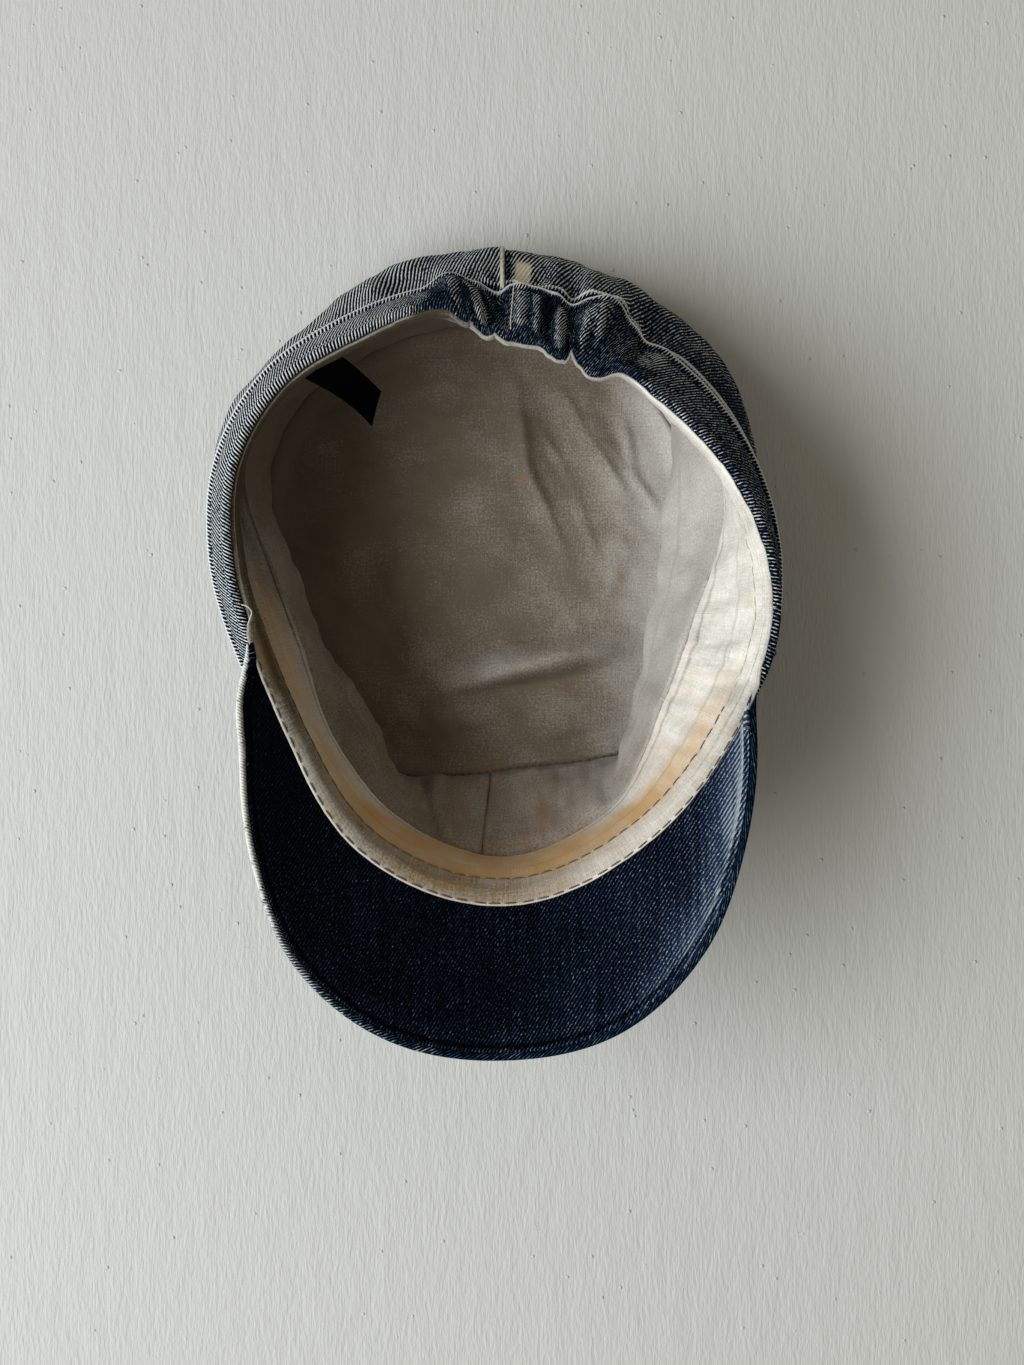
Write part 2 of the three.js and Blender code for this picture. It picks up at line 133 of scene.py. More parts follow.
# lean: how far the sweatband's far edge stands out from the rim, inwards if negative.
# fold, fold_z: the edge that the slack lining folds over. seam: radius of its top seam.
# shoulder: how far the sweatband bows in under the tape. tuck: depth of the tape's edge.
INSIDE = table("at lean fold fold_z seam shoulder tuck", [
    (0, -21.5, 53.0, 20, 69.0, 0.5, 0.5),
    (30, 1.0, 66.0, 16, 82.0, 1.5, 0.5),
    (48, 5.0, 90.0, 18, 92.5, 1.6, 0.4),
    (60, 7.0, 100.0, 24, 99.0, 0.8, 0.3),
    (78, 12.0, 106.0, 30, 105.0, 0.5, 0.3),
    (92, 10.5, 110.0, 30, 107.5, 0.6, 0.3),
    (103, 6.0, 111.0, 30, 108.5, 1.4, 0.8),
    (120, 6.0, 111.0, 30, 109.0, 1.4, 1.6),
    (135, 5.0, 109.0, 28, 108.5, 1.2, 2.0),
    (152, 3.0, 97.0, 20, 100.0, 0.6, 2.6),
    (170, -9.0, 76.0, 18, 88.0, 0.6, 2.6),
    (190, -11.0, 66.0, 20, 77.0, 1.0, 1.0),
    (212, -8.5, 60.0, 22, 71.5, 2.0, 0.5),
    (232, -11.5, 65.5, 28, 72.0, 3.2, 0.5),
    (252, -12.0, 75.5, 30, 62.5, 4.0, 0.5),
    (270, -11.0, 72.5, 26, 57.3, 4.2, 0.5),
    (285, -11.5, 72.0, 28, 57.5, 3.8, 0.5),
    (300, -12.0, 70.0, 30, 62.0, 3.2, 0.5),
    (314, -17.0, 61.0, 27, 68.0, 2.2, 0.5),
    (330, -21.0, 54.0, 24, 68.0, 1.0, 0.5),
])

# reach: radius of the peak's outer edge. rise: its height over the rim.
PEAK = table("at reach rise", [
    (188, 84.5, 1.2),
    (200, 92.2, 5.4),
    (210, 98.3, 8.8),
    (225, 114.4, 13.4),
    (240, 133.0, 14.4),
    (255, 144.1, 11.6),
    (270, 146.0, 10.0),
    (285, 142.0, 11.3),
    (300, 127.7, 13.3),
    (315, 108.8, 10.8),
    (330, 93.8, 5.3),
    (341, 86.2, 1.0),
])

# Gathers of the elastic back, and how far each pushes the rim, the band's middle and its seam.
GATHERS = table("at half rim belly seam", [
    (62.0, 4.0, 0, -2.0, -1.5),
    (70.5, 7.5, -4.5, 3.5, 4.5),
    (75.2, 2.2, 2.6, -1.5, 0),
    (77.8, 3.2, -3.4, 0, -2.5),
    (81.5, 2.2, 0, -2.0, 0),
    (86.0, 5.5, -1.6, 1.5, 0.5),
    (92.0, 3.0, 0.8, -3.0, -1.5),
    (95.4, 3.0, -2.6, 1.0, 0),
    (99.5, 5.5, -1.6, 3.5, 4.0),
])

# Scallops of the gathered rim: how far its edge stands out beyond the gathers' smooth line.
SCALLOPS = table("at out", [
    (55, 0), (59.2, 0.8), (61.1, 1.0), (63.0, 0.95), (64.3, 0.8), (65.4, 0.25), (66.7, -0.5),
    (68.2, -0.35), (70.1, 0.3), (71.4, 1.05), (72.2, 1.6), (73.4, 1.15), (74.7, -0.1),
    (75.3, 0.5), (75.7, 1.5), (76.1, -1.3), (77.0, 0.65), (78.8, 0.3), (80.3, -1.25),
    (81.3, -0.4), (82.9, 0.65), (86.2, 1.3), (88.2, 0.6), (89.85, -0.4), (91.4, -0.3),
    (92.1, 0.5), (92.6, -0.6), (93.5, -0.6), (94.5, 0.7), (95.2, 2.0), (96.3, 2.9),
    (96.8, 3.6), (97.7, 1.4), (98.7, 1.55), (99.6, 2.4), (100.6, 3.0), (102.8, 1.7),
    (106.2, 0.4), (109.8, 0.0), (113, 0),
])

# Pleats in the gathered band: bearing at the rim and at the seam, half width and depth, and the
# stretch of the band that each runs down, from 0 at the rim to 1 at the seam.
PLEATS = table("rim seam half deep start end", [
    (100.6, 102.5, 1.8, 0.8, 0, 0.9),
    (96.9, 97.4, 1.2, 1.3, 0, 0.8),
    (94.6, 96.2, 0.9, 0.9, 0.15, 0.8),
    (92.1, 95.0, 1.2, 1.7, 0, 1.0),
    (90.4, 91.0, 1.9, 1.8, 0.1, 1.2),
    (84.6, 84.0, 1.3, 0.5, 0, 0.7),
    (81.3, 81.4, 1.4, 1.9, 0, 1.0),
    (78.7, 79.0, 0.9, 0.7, 0, 0.7),
    (75.7, 77.4, 1.3, 2.2, 0, 0.9),
    (72.6, 72.0, 1.0, 0.6, 0, 0.6),
    (67.2, 66.6, 2.6, 2.0, 0.2, 1.2),
    (63.4, 62.0, 2.2, 1.0, 0.2, 1.2),
])

# Dents and soft folds of the crown's sides. down: 0 at the band seam, 1 at the crown seam.
DENTS = table("at down half tall push", [
    (106, 0.1, 7, 0.35, -5),
    (62, 0.1, 8, 0.35, -4),
    (84, 0.15, 7, 0.35, -3),
    (128, 0.55, 14, 0.3, -3),
    (20, 0.6, 14, 0.35, -4),
    (205, 0.5, 16, 0.35, -3),
    (318, 0.5, 16, 0.35, -3),
    (95, 0.25, 3, 0.3, 1.2),
    (76, 0.2, 3, 0.3, 1.0),
    (112, 0.3, 3.5, 0.3, 1.6),
    (117, 0.12, 3, 0.25, -1.4),
])

# Creases that stand up in the lining of the top: centre, heading, half length, half width, height.
CREASES = table("x y heading long wide high", [
    (14, -17, 15, 44, 13, 7.5),
    (-20, -34, 24, 26, 11, 3.0),
    (8, 58, 107, 42, 13, 4.0),
    (34, 62, 117, 30, 11, 4.0),
    (-6, 38, 76, 48, 20, 4.0),
    (-60, 30, 100, 36, 16, 3.0),
])

# Finer creases, which the solids leave out. Those with a negative height are valleys.
SMALL_CREASES = table("x y heading long wide high", [
    (5, -25.5, 11.5, 46, 5.5, -4.2),
    (4, -18.0, 12.5, 54, 9.0, 2.4),
    (-10, -38, 20, 24, 6.0, 1.6),
    (30, -14, 6, 20, 4.0, 1.2),
    (6, 66, 98, 30, 4, 2),
    (1, 66, 98, 30, 4.5, -1.1),
    (14, 40, 114, 34, 3.8, 2),
    (8, 40, 114, 34, 5.6, -0.9),
    (25, 74, 117, 18, 3.1, 1.9),
    (37, 55, 124, 18, 3.1, 1.9),
    (33, 54, 122, 18, 3.9, -0.9),
    (45, 63, 103, 16, 3.1, 1.7),
    (51, 46, 128, 14, 3.1, 1.7),
    (19, 58, 120, 16, 2.7, 1.3),
    (29, 34, 110, 20, 3.4, 1.3),
    (30, -38, 14, 24, 6.0, 1.8),
    (4, -44, 10, 34, 7.0, 1.2),
    (-72, 24, 170, 10, 3.0, 1.0),
    (38, 12, 70, 26, 7.0, 1.2),
    (-24, 18, 63, 30, 9.0, -2.0),
    (-40, 10, 60, 30, 9.0, 0.8),
    (-20, 70, 85, 26, 10.1, 0.6),
    (16, -58, 82, 12, 4.0, 1.0),
])

# Two long edges of the woven label: sewn end, then hanging end.
LABEL_EDGES = np.array([
    [(-66.0, 75.6, 78.0), (-44.9, 61.8, 64.0)],
    [(-52.9, 82.2, 77.6), (-42.2, 74.6, 57.0)],
])
LABEL_THICK = 0.8
LABEL_BOW = 3.5

# Camera of the photograph: height over the floor, place, and length of its lens in pixels.
CAMERA_PLACE = (2.3, -24.3, 684.0)
FOCAL_PIXELS = 1851.85
IMAGE_HEIGHT = 1365
SENSOR_MM = 36.0

# Distance between the twill's ribs. Real ones are 1.05 mm apart: they are drawn about a quarter
# wider on the crown and the band, so that they show, and true to size on the peak.
TWILL_PITCH = 1.35
BAND_TWILL_PITCH = 1.25
PEAK_TWILL_PITCH = 1.0
ROLLED_TWILL_PITCH = 0.95

# The window that lights the cap: its place, width and height in metres, and power in watts.
WINDOW_PLACE = (-1.44, -0.44, 1.58)
WINDOW_SIZE = (2.2, 1.3)
WINDOW_POWER = 62.0
ROOM_LIGHT = 0.27
FLOOR = -0.0002
FLOOR_REACH = 4

# Rust spots on the lining's top: x, y, radius, strength.
SPOTS = [
    (-6.5, -60.0, 4.0, 0.6),
    (6.0, 50.0, 1.6, 0.7),
    (42.0, 14.0, 1.8, 0.7),
    (-30.0, -20.0, 8.0, 0.15),
    (20.0, -30.0, 10.0, 0.15),
]

# Loose threads: their radius, how finely they are drawn, and for each the slot of the cloth that
# it grows from and the points along it.
LOOSE_GIRTH = 0.22
LOOSE_POINTS = 33
LOOSE_THREADS = [
    ("cream_cotton", [(-83.2, -5.7, 85.2), (-82.2, -3.6, 86.6), (-81.6, -1.5, 87.4),
                      (-83.0, 0.2, 87.8), (-85.0, 0.8, 87.0)]),
    ("denim", [(85.9, -12.6, 84.2), (86.4, -13.8, 84.4), (87.4, -13.4, 84.0),
               (87.9, -14.8, 83.6), (87.2, -15.8, 83.2)]),
    ("denim", [(81.0, 21.4, 84.6), (81.8, 22.8, 85.6), (82.8, 22.4, 85.4), (82.4, 21.2, 84.9)]),
    ("denim", [(81.6, 22.0, 84.8), (82.6, 21.6, 85.6), (83.0, 23.0, 85.2), (81.9, 23.3, 84.8)]),
    ("denim", [(82.2, -7.2, 83.0), (82.9, -8.0, 84.0), (82.6, -9.0, 83.6), (82.0, -8.6, 83.0)]),
]


# Curves and tables

def hermite(x, y, at):
    """Cubic through the points (x, y) that takes each slope across both neighbours."""
    i = np.clip(np.searchsorted(x, at, side="right") - 1, 1, len(x) - 3)
    width = x[i + 1] - x[i]
    t = (at - x[i]) / width
    slope = (y[i + 1] - y[i - 1]) / (x[i + 1] - x[i - 1]) * width
    slope_next = (y[i + 2] - y[i]) / (x[i + 2] - x[i]) * width
    return ((2 * t**3 - 3 * t**2 + 1) * y[i] + (t**3 - 2 * t**2 + t) * slope
            + (3 * t**2 - 2 * t**3) * y[i + 1] + (t**3 - t**2) * slope_next)


def around(rows, column, bearing):
    """A column at a bearing, on a smooth curve that runs round and closes."""
    at = np.concatenate([rows["at"][-3:] - 360, rows["at"], rows["at"][:3] + 360])
    value = np.concatenate([rows[column][-3:], rows[column], rows[column][:3]])
    return hermite(at, value, np.mod(bearing, 360))


def along(rows, column, bearing):
    """A column at a bearing, on a curve with two ends, which run on straight."""
    at, value = rows["at"], rows[column]
    at = np.concatenate([[2 * at[0] - at[1]], at, [2 * at[-1] - at[-2]]])
    value = np.concatenate([[value[0]], value, [value[-1]]])
    return hermite(at, value, bearing)


def smooth(x, low=0.0, high=1.0):
    """0 below low, 1 above high, and an s-curve between."""
    t = np.clip((x - low) / (high - low), 0, 1)
    return t * t * (3 - 2 * t)


def hump(distance, half):
    """1 in the middle, 0 from half away."""
    return 0.5 + 0.5 * np.cos(np.pi * np.clip(np.abs(distance) / half, 0, 1))


def turn_between(a, b):
    """Shortest turn from b to a, in degrees."""
    return np.mod(a - b + 180, 360) - 180


def gather(column, bearing):
    """Sum of the gathers' pushes at a bearing."""
    away = turn_between(np.asarray(bearing)[..., None], GATHERS["at"])
    return (GATHERS[column] * hump(away, GATHERS["half"])).sum(-1)


def ripple(seed, size, *where):
    """Sum of eight sine waves about size long in seeded directions, from -1 to 1."""
    rng = np.random.default_rng(seed)
    total = np.zeros(np.broadcast(*where).shape)
    for _ in range(8):
        way = rng.normal(size=len(where))
        way *= rng.uniform(0.6, 1.7) / (np.linalg.norm(way) * size)
        total += np.sin(2 * np.pi * sum(w * p for w, p in zip(way, where)) + rng.uniform(0, 6.3))
    return total / 4


def rim_radius(bearing):
    """Radius of the rim: its smooth curve and the pushes of the gathers."""
    return around(WALL, "rim", bearing) + gather("rim", bearing)


def rim_height(bearing):
    """Height of the rim, on a smooth curve round it."""
    return around(WALL, "rim_z", bearing)


def peak_share(bearing):
    """1 along the peak, whose thickness stands between rim and band, 0 away from it."""
    return smooth(np.minimum(bearing - PEAK_FROM, PEAK_TO - bearing), -6, -0.6)


def band_seam(bearing):
    """Radius and height of the seam between band and crown."""
    flare = around(WALL, "flare", bearing)
    height = rim_height(bearing) - np.sqrt(BAND_WIDTH**2 - flare**2)
    radius = around(WALL, "rim", bearing) + 3 * GAP + DENIM + flare + gather("seam", bearing)
    return np.stack([radius, height], -1)


def bezier(points, t):
    """Bezier curve through control points [..., 1, 2], at the shares t."""
    n = len(points) - 1
    t = np.asarray(t)[..., None]
    return sum(math.comb(n, k) * (1 - t) ** (n - k) * t**k * p for k, p in enumerate(points))


def spline(points, t):
    """Even Catmull-Rom curve through points [..., 1, 2]: their sum, weighted by nearness."""
    s = np.asarray(t)[..., None] * (len(points) - 1)
    total = 0
    for k, point in enumerate([points[0], *points, points[-1]], -1):
        x = np.abs(s - k)
        near = (1.5 * x - 2.5) * x * x + 1
        far = ((2.5 - 0.5 * x) * x - 4) * x + 2
        total = total + np.where(x < 1, near, np.where(x < 2, far, 0)) * point
    return total


def unit(v):
    """Vectors divided by their length."""
    return v / np.maximum(np.linalg.norm(v, axis=-1, keepdims=True), 1e-9)


def length_run(points):
    """Millimetres run along the second axis of points, from 0 at its start."""
    steps = np.linalg.norm(np.diff(points, axis=1), axis=-1)
    return np.concatenate([np.zeros((len(points), 1)), np.cumsum(steps, 1)], 1)


def level(b, radius):
    """x and y at a bearing and a radius."""
    return radius * np.cos(np.radians(b)), radius * np.sin(np.radians(b))


def point(radius, height):
    """Section points from their radius and height."""
    return np.stack(np.broadcast_arrays(radius, height), -1)


# Sections: each takes bearings [m, 1] and rows [n] or [m, n], and gives radius and height.

def band_curve(b, t):
    """Bowed curve from the rim edge out to the seam, under the peak where there is one."""
    drop = BAND_BELOW_RIM + peak_share(b) * (2 * PLATE + GAP + PEAK_BELOW_RIM)
    top = point(rim_radius(b) + 3 * GAP + DENIM, rim_height(b) - drop)
    seam = band_seam(b)
    belly = (top + seam) / 2 + point(0.6 + 2 * gather("belly", b), 0 * b)
    return bezier([top, belly, seam], t)


def crown_curve(b, t):
    """On from the band's end, round the bulge, and level into the flat top."""
    seam = band_seam(b)
    way = unit(seam - band_curve(b, np.array([0.97])))
    start = seam + way * (GAP + 0.2)
    end = point(around(WALL, "top", b), CROWN_CURL)
    height = start[..., 1] - end[..., 1]
    shoulder = start + way * 0.25 * height[..., None]
    reach = (8 * around(WALL, "bulge", b) - start[..., 0] - 3 * shoulder[..., 0] - end[..., 0]) / 3
    curve = bezier([start, shoulder, point(reach, end[..., 1]), end], t)
    t = np.asarray(t)[..., None]
    push = DENTS["push"] * hump(turn_between(b[..., None], DENTS["at"]), DENTS["half"])
    dent = (push * hump(t - DENTS["down"], DENTS["tall"])).sum(-1)
    curve[..., 0] += (1 - (2 * t[..., 0] - 1) ** 6) * dent
    return curve


def sweatband_curve(b, reach):
    """Straight line from the rim down the sweatband, at distances reach from the rim."""
    lean = around(INSIDE, "lean", b)
    top = point(rim_radius(b), rim_height(b) - SWEATBAND_BELOW_RIM)
    edge = point(around(WALL, "rim", b) + lean,
                 top[..., 1] - np.sqrt(SWEATBAND_WIDTH**2 - lean**2))
    return top + (edge - top) * (np.asarray(reach) / SWEATBAND_WIDTH)[..., None]


def lining_curve(b, t):
    """Down from the sweatband, over the slack fold, and out to the top's seam."""
    hem = [sweatband_curve(b, np.array([reach]))
           for reach in (SWEATBAND_WIDTH + 5 * GAP, SWEATBAND_WIDTH + HEM_WIDTH)]
    fold = point(around(INSIDE, "fold", b), around(INSIDE, "fold_z", b))
    end = point(around(INSIDE, "seam", b), LINING_SEAM_HEIGHT)
    tuck = fold + (end - fold) * 0.6 + (0.5, -1.5)
    return spline([*hem, (hem[1] + fold) / 2, fold, tuck, end], t)


def turned(section, b):
    """Section points (radius, height) at their bearings in space."""
    x, y = level(b, section[..., 0])
    return np.stack(np.broadcast_arrays(x, y, section[..., 1]), -1)


def raised(curve, b, t, height, step, aside=0.0):
    """A section curve in space, pushed out by a height square to its line and by aside level."""
    ahead = curve(b, t + step) - curve(b, t - step)
    out = unit(np.stack([-ahead[..., 1], ahead[..., 0]], -1))
    return turned(curve(b, t) + out * height[..., None] + point(aside, 0), b)


# Sheets: the outer faces of the cloth in space, with the slack that the solids leave out.

def pleat_push(b, t):
    """How far pleats sink the band, with a puff on each side: narrow humps round each pleat."""
    t = np.asarray(t)[..., None]
    away = turn_between(b[..., None], PLEATS["rim"] + (PLEATS["seam"] - PLEATS["rim"]) * t)
    half = PLEATS["half"]
    groove = 0.6 * hump(np.abs(away) - 1.9 * half, 1.2 * half) - hump(away, half)
    fade = 1 - smooth(t, PLEATS["end"] - 0.35, PLEATS["end"])
    fade = fade * smooth(t, PLEATS["start"] - 0.1, PLEATS["start"] + 0.15)
    return (PLEATS["deep"] * groove * fade).sum(-1)


def scallop(b, down, full):
    """How far the gathered rim stands out beyond its smooth line: less and less below full."""
    at = SCALLOPS["at"]
    out = along(SCALLOPS, "out", np.clip(np.mod(b, 360), at[0], at[-1]))
    return out * (1 - smooth(down, full, SCALLOP_END))


def gathered(b):
    """1 in the gathered back, 0 elsewhere."""
    b = np.mod(b, 360)
    return smooth(b, 56, 64) * (1 - smooth(b, 102, 110))


def bell(x, middle, width):
    """Smooth peak of 1 that falls to a third a width away."""
    return np.exp(-((x - middle) / width) ** 2)


def band_sheet(b, t):
    """The band's curve with pleats, slack, a raised fold at its seam and a groove by the rim."""
    d = t * BAND_WIDTH
    x, y = level(b, BAND_MEAN)
    slack = 0.35 * ripple(3, 16, x, y, 0.6 * d) + 0.15 * ripple(4, 6, x, y, 0.5 * d)
    slack = slack * (1 + 1.2 * gathered(b)) * hump(2 * t - 1, 1.15)
    fold = 1.2 * bell(d, BAND_WIDTH - 0.7, 1.2) - 0.4 * bell(d, BAND_WIDTH - 3.5, 1.0)
    groove = 0.35 * bell(d, 3.4, 0.9) * (1 - peak_share(b))
    return raised(band_curve, b, t, pleat_push(b, t) + slack + fold - groove, 0.004,
                  scallop(b, d, 2))


def crown_sheet(b, t):
    """The crown's curve, slack, tucked below the band's pleats and stepped in at its seam."""
    curve = crown_curve(b, t)
    x, y, z = np.moveaxis(turned(curve, b), -1, 0)
    slack = ripple(11, 34, x, y, z) + 0.45 * ripple(12, 13, x, y, z)
    down = np.asarray(t)[..., None]
    away = turn_between(b[..., None], PLEATS["seam"] + 6 * np.sin(3 * PLEATS["rim"]) * down)
    tucks = (PLEATS["deep"] * (0.4 * hump(np.abs(away) - 2.4, 2.2) - 0.7 * hump(away, 1.9))
             * hump(down, 0.36)).sum(-1)
    d = length_run(curve)
    seam = 0.6 * bell(d, 4.4, 1.0) - 0.9 * bell(d, 0, 1.8)
    turn = turn_between(CENTRE_BACK, b)
    back = (0.9 - 0.4 * smooth(d, 16, 30)) * bell(turn, -0.45, 0.4) - 0.8 * bell(turn, 0.5, 0.6)
    front = -0.6 * bell(turn_between(CENTRE_FRONT, b), 0, 0.5)
    seam = seam + (back + front) * smooth(d, 0, 3)
    free = hump(2 * t - 1, 1.08)
    return raised(crown_curve, b, t, slack * free + tucks * smooth(d, 1, 6) + seam, 0.004)


def inner_slack(b, reach):
    """Bow of the sweatband under the tape, and its creases, which are deepest on the right."""
    x, y = level(b, SWEATBAND_MEAN)
    bow = around(INSIDE, "shoulder", b) * np.sin(
        np.pi * np.clip(reach / SWEATBAND_WIDTH, 0, 1) ** 0.62)
    right = hump(turn_between(b, 5), 62)
    broad = ripple(21, 13, x, y, 0.25 * reach)
    fine = ripple(22, 5, x, y, 0.3 * reach)
    grow = smooth(reach, -1, 14) * (1 - 0.75 * smooth(reach, 26, 34))
    return (0.3 + 1.05 * right) * broad * grow + (0.08 + 0.12 * right) * fine - bow


def sweatband_sheet(b, reach):
    """The sweatband's line with its bow and creases, and the gathered rim's scallops."""
    return raised(sweatband_curve, b, reach, inner_slack(b, reach), 0.05, scallop(b, reach, 3))


def tape_sheet(b, reach):
    """The tape lies on the sweatband's inner face, tucked under the denim's hem.

    Over the peak it turns out across the rim instead. The rows above the first millimetre
    close up on its edge, so that it turns level there.
    """
    x, y = level(b, SWEATBAND_MEAN)
    wrap = peak_share(b)
    over = 1 - smooth(reach, TAPE_TOP, 1.8)
    pucker = 0.12 * ripple(23, 3.2, x, y, 0.2 * reach) * hump(reach - 3.5, 4.5)
    right = hump(turn_between(b, 20), 62)
    seams = 0.2 * bell(reach, TAPE_ROW, 0.4) + 0.3 * right * bell(reach, 1.9, 0.35)
    thin = hump(turn_between(b, 55), 90)
    inward = COTTON + GAP + pucker - seams - over * (0.9 - 0.5 * thin + 1.1 * wrap)
    turn = np.clip((reach - TAPE_TOP) / (2 - TAPE_TOP), 0, 1)
    edge = around(INSIDE, "tuck", b) * (1 - wrap) - SWEATBAND_BELOW_RIM * wrap
    place = np.where(reach < 2, edge + (2 - edge) * turn**2, reach)
    place = np.where(edge < 1.2, place, edge + (TAPE_WIDTH - edge) * np.maximum(
        reach - TAPE_TOP, 0) / (TAPE_WIDTH - TAPE_TOP))
    return raised(sweatband_curve, b, place, inner_slack(b, place) - inward, 0.05,
                  scallop(b, place, 3))


def lining_sheet(b, t):
    """The lining's curve with slack and seam puckers, and sunk behind its flap at the front."""
    x, y, z = np.moveaxis(turned(lining_curve(b, t), b) * (1, 1, 0.45), -1, 0)
    slack = 1.1 * ripple(31, 24, x, y, z) + 0.5 * ripple(32, 9, x, y, z)
    free = smooth(t, 0.02, 0.3) * (1 - smooth(t, 0.86, 1.0))
    # The seam at the bottom draws up in small puckers.
    pucker = 0.2 * np.sin(np.radians(b) * 47) * bell(t, 0.97, 0.05)
    # The left flap of slack cloth ends in a free fold, and the front panel lies behind it.
    bearing = np.mod(b, 360)
    edge = LINING_FLAP[0] + (LINING_FLAP[1] - LINING_FLAP[0]) * t
    behind = smooth(bearing, edge - 1.2, edge + 1.6) * (1 - smooth(bearing, 280, 312))
    slack = slack - 3.6 * behind
    return raised(lining_curve, b, t, slack * free + pucker, 0.004)


def creases(rows, x, y):
    """Sum of long humps: each falls off along its heading and, faster, across it."""
    x, y = x[..., None] - rows["x"], y[..., None] - rows["y"]
    c, s = np.cos(np.radians(rows["heading"])), np.sin(np.radians(rows["heading"]))
    return (rows["high"] * hump(x * c + y * s, rows["long"])
            * hump(y * c - x * s, rows["wide"])).sum(-1)


def lining_top_sheet(b, share):
    """Flat plate that curls up to its seam, with the creases of slack lining."""
    radius = around(INSIDE, "seam", b) - COTTON
    r = share * radius
    curl = 1 - smooth(radius - r, 0, CROWN_CURL_WIDTH)
    x, y = level(b, r)
    slack = creases(CREASES, x, y) + creases(SMALL_CREASES, x, y)
    slack = slack + 0.5 + 0.5 * ripple(41, 30, x, y) + 0.22 * ripple(42, 11, x, y)
    lift = np.maximum(slack, 0) * (1 - curl)
    return np.stack([x, y, LINING_REST + COTTON + lift + curl * LINING_CURL], -1)


def crown_top_sheet(b, share):
    """Flat plate that curls up to its seam, with a slight swell in its middle."""
    radius = around(WALL, "top", b) - GAP
    r = share * radius
    curl = CROWN_CURL * (1 - smooth(radius - r, 0, CROWN_CURL_WIDTH))
    x, y = level(b, r)
    return np.stack([x, y, DENIM + curl + 0.15 * (1 + ripple(51, 25, x, y)) * hump(share, 1)], -1)


def roll_width(b):
    """Width of the roll along the peak's edge, narrower where the peak runs out."""
    return np.minimum(ROLL_WIDTH, 0.7 * (along(PEAK, "reach", b) - rim_radius(b) - 2 * GAP))


def peak_point(b, share, step, depth):
    """Out from the rim in share, then a step out and a depth under the peak's face."""
    inner = rim_radius(b) + 2 * GAP
    outer = along(PEAK, "reach", b)
    r = inner + (outer - roll_width(b) - inner) * share + step
    rise = along(PEAK, "rise", b) * ((r - inner) / (outer - inner))
    return turned(point(r, rim_height(b) - PEAK_BELOW_RIM + rise - depth), b)


def peak_under_sheet(b, share):
    """Stiff plate under tight cloth: soft slack, and a groove where the edge is top-stitched."""
    inner = rim_radius(b)
    span = along(PEAK, "reach", b) - roll_width(b) - inner
    from_edge = (1 - share) * span
    x = inner * np.cos(np.radians(b))
    slack = 0.18 * ripple(61, 22, x, from_edge) * hump(2 * share - 1, 1)
    groove = 0.5 * bell(from_edge, 2.4, 0.7) * smooth(span, 2, 8)
    swell = 0.25 * bell(from_edge, 6.5, 3.0) * smooth(span, 8, 16)
    edge = 0.3 * smooth(share, 0.985, 1.0)
    return peak_point(b, share, -GAP * smooth(share, 0.9, 1.0), groove - slack - swell + edge)


# Meshes

def add_mesh(name, points, quads, cloth, marks, material, nodes=()):
    """A mesh from points, quads and the cloth coordinates of their corners.

    A quad that repeats a corner is a triangle. Points that no quad names are dropped. If the
    volume inside comes out negative, every face is turned over.
    """
    used, quads = np.unique(quads, return_inverse=True)
    quads = quads.reshape(-1, 4)
    points = points[used]
    a, b, c, d = (points[quads[:, k]] for k in range(4))
    if (a * np.cross(b, c)).sum() + (a * np.cross(c, d)).sum() < 0:
        quads, cloth = quads[:, ::-1], cloth[:, ::-1]
    keep = quads != np.roll(quads, 1, axis=1)
    start = np.concatenate([[0], np.cumsum(keep.sum(1))])
    mesh = bpy.data.meshes.new(name)
    mesh.vertices.add(len(points))
    mesh.vertices.foreach_set("co", (points * MM).astype(np.float32).ravel())
    mesh.loops.add(int(start[-1]))
    mesh.loops.foreach_set("vertex_index", quads[keep].astype(np.int32))
    mesh.polygons.add(len(quads))
    mesh.polygons.foreach_set("loop_start", start[:-1].astype(np.int32))
    mesh.polygons.foreach_set("use_smooth", np.ones(len(quads), bool))
    mesh.update(calc_edges=True)
    where = mesh.attributes.new("cloth", "FLOAT_VECTOR", "CORNER")
    flat = np.zeros((int(start[-1]), 3), np.float32)
    flat[:, :2] = cloth[keep]
    where.data.foreach_set("vector", flat.ravel())
    for title, values in marks.items():
        mark = mesh.attributes.new(title, "FLOAT", "POINT")
        mark.data.foreach_set("value", np.clip(values[used], 0, 1).astype(np.float32))
    if mesh.validate():
        raise RuntimeError(f"{name} has faces that are not valid")
    mesh.materials.append(material)
    piece = bpy.data.objects.new(name, mesh)
    bpy.context.scene.collection.objects.link(piece)
    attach(piece, "root")
    if nodes:
        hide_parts(*nodes)
    return piece


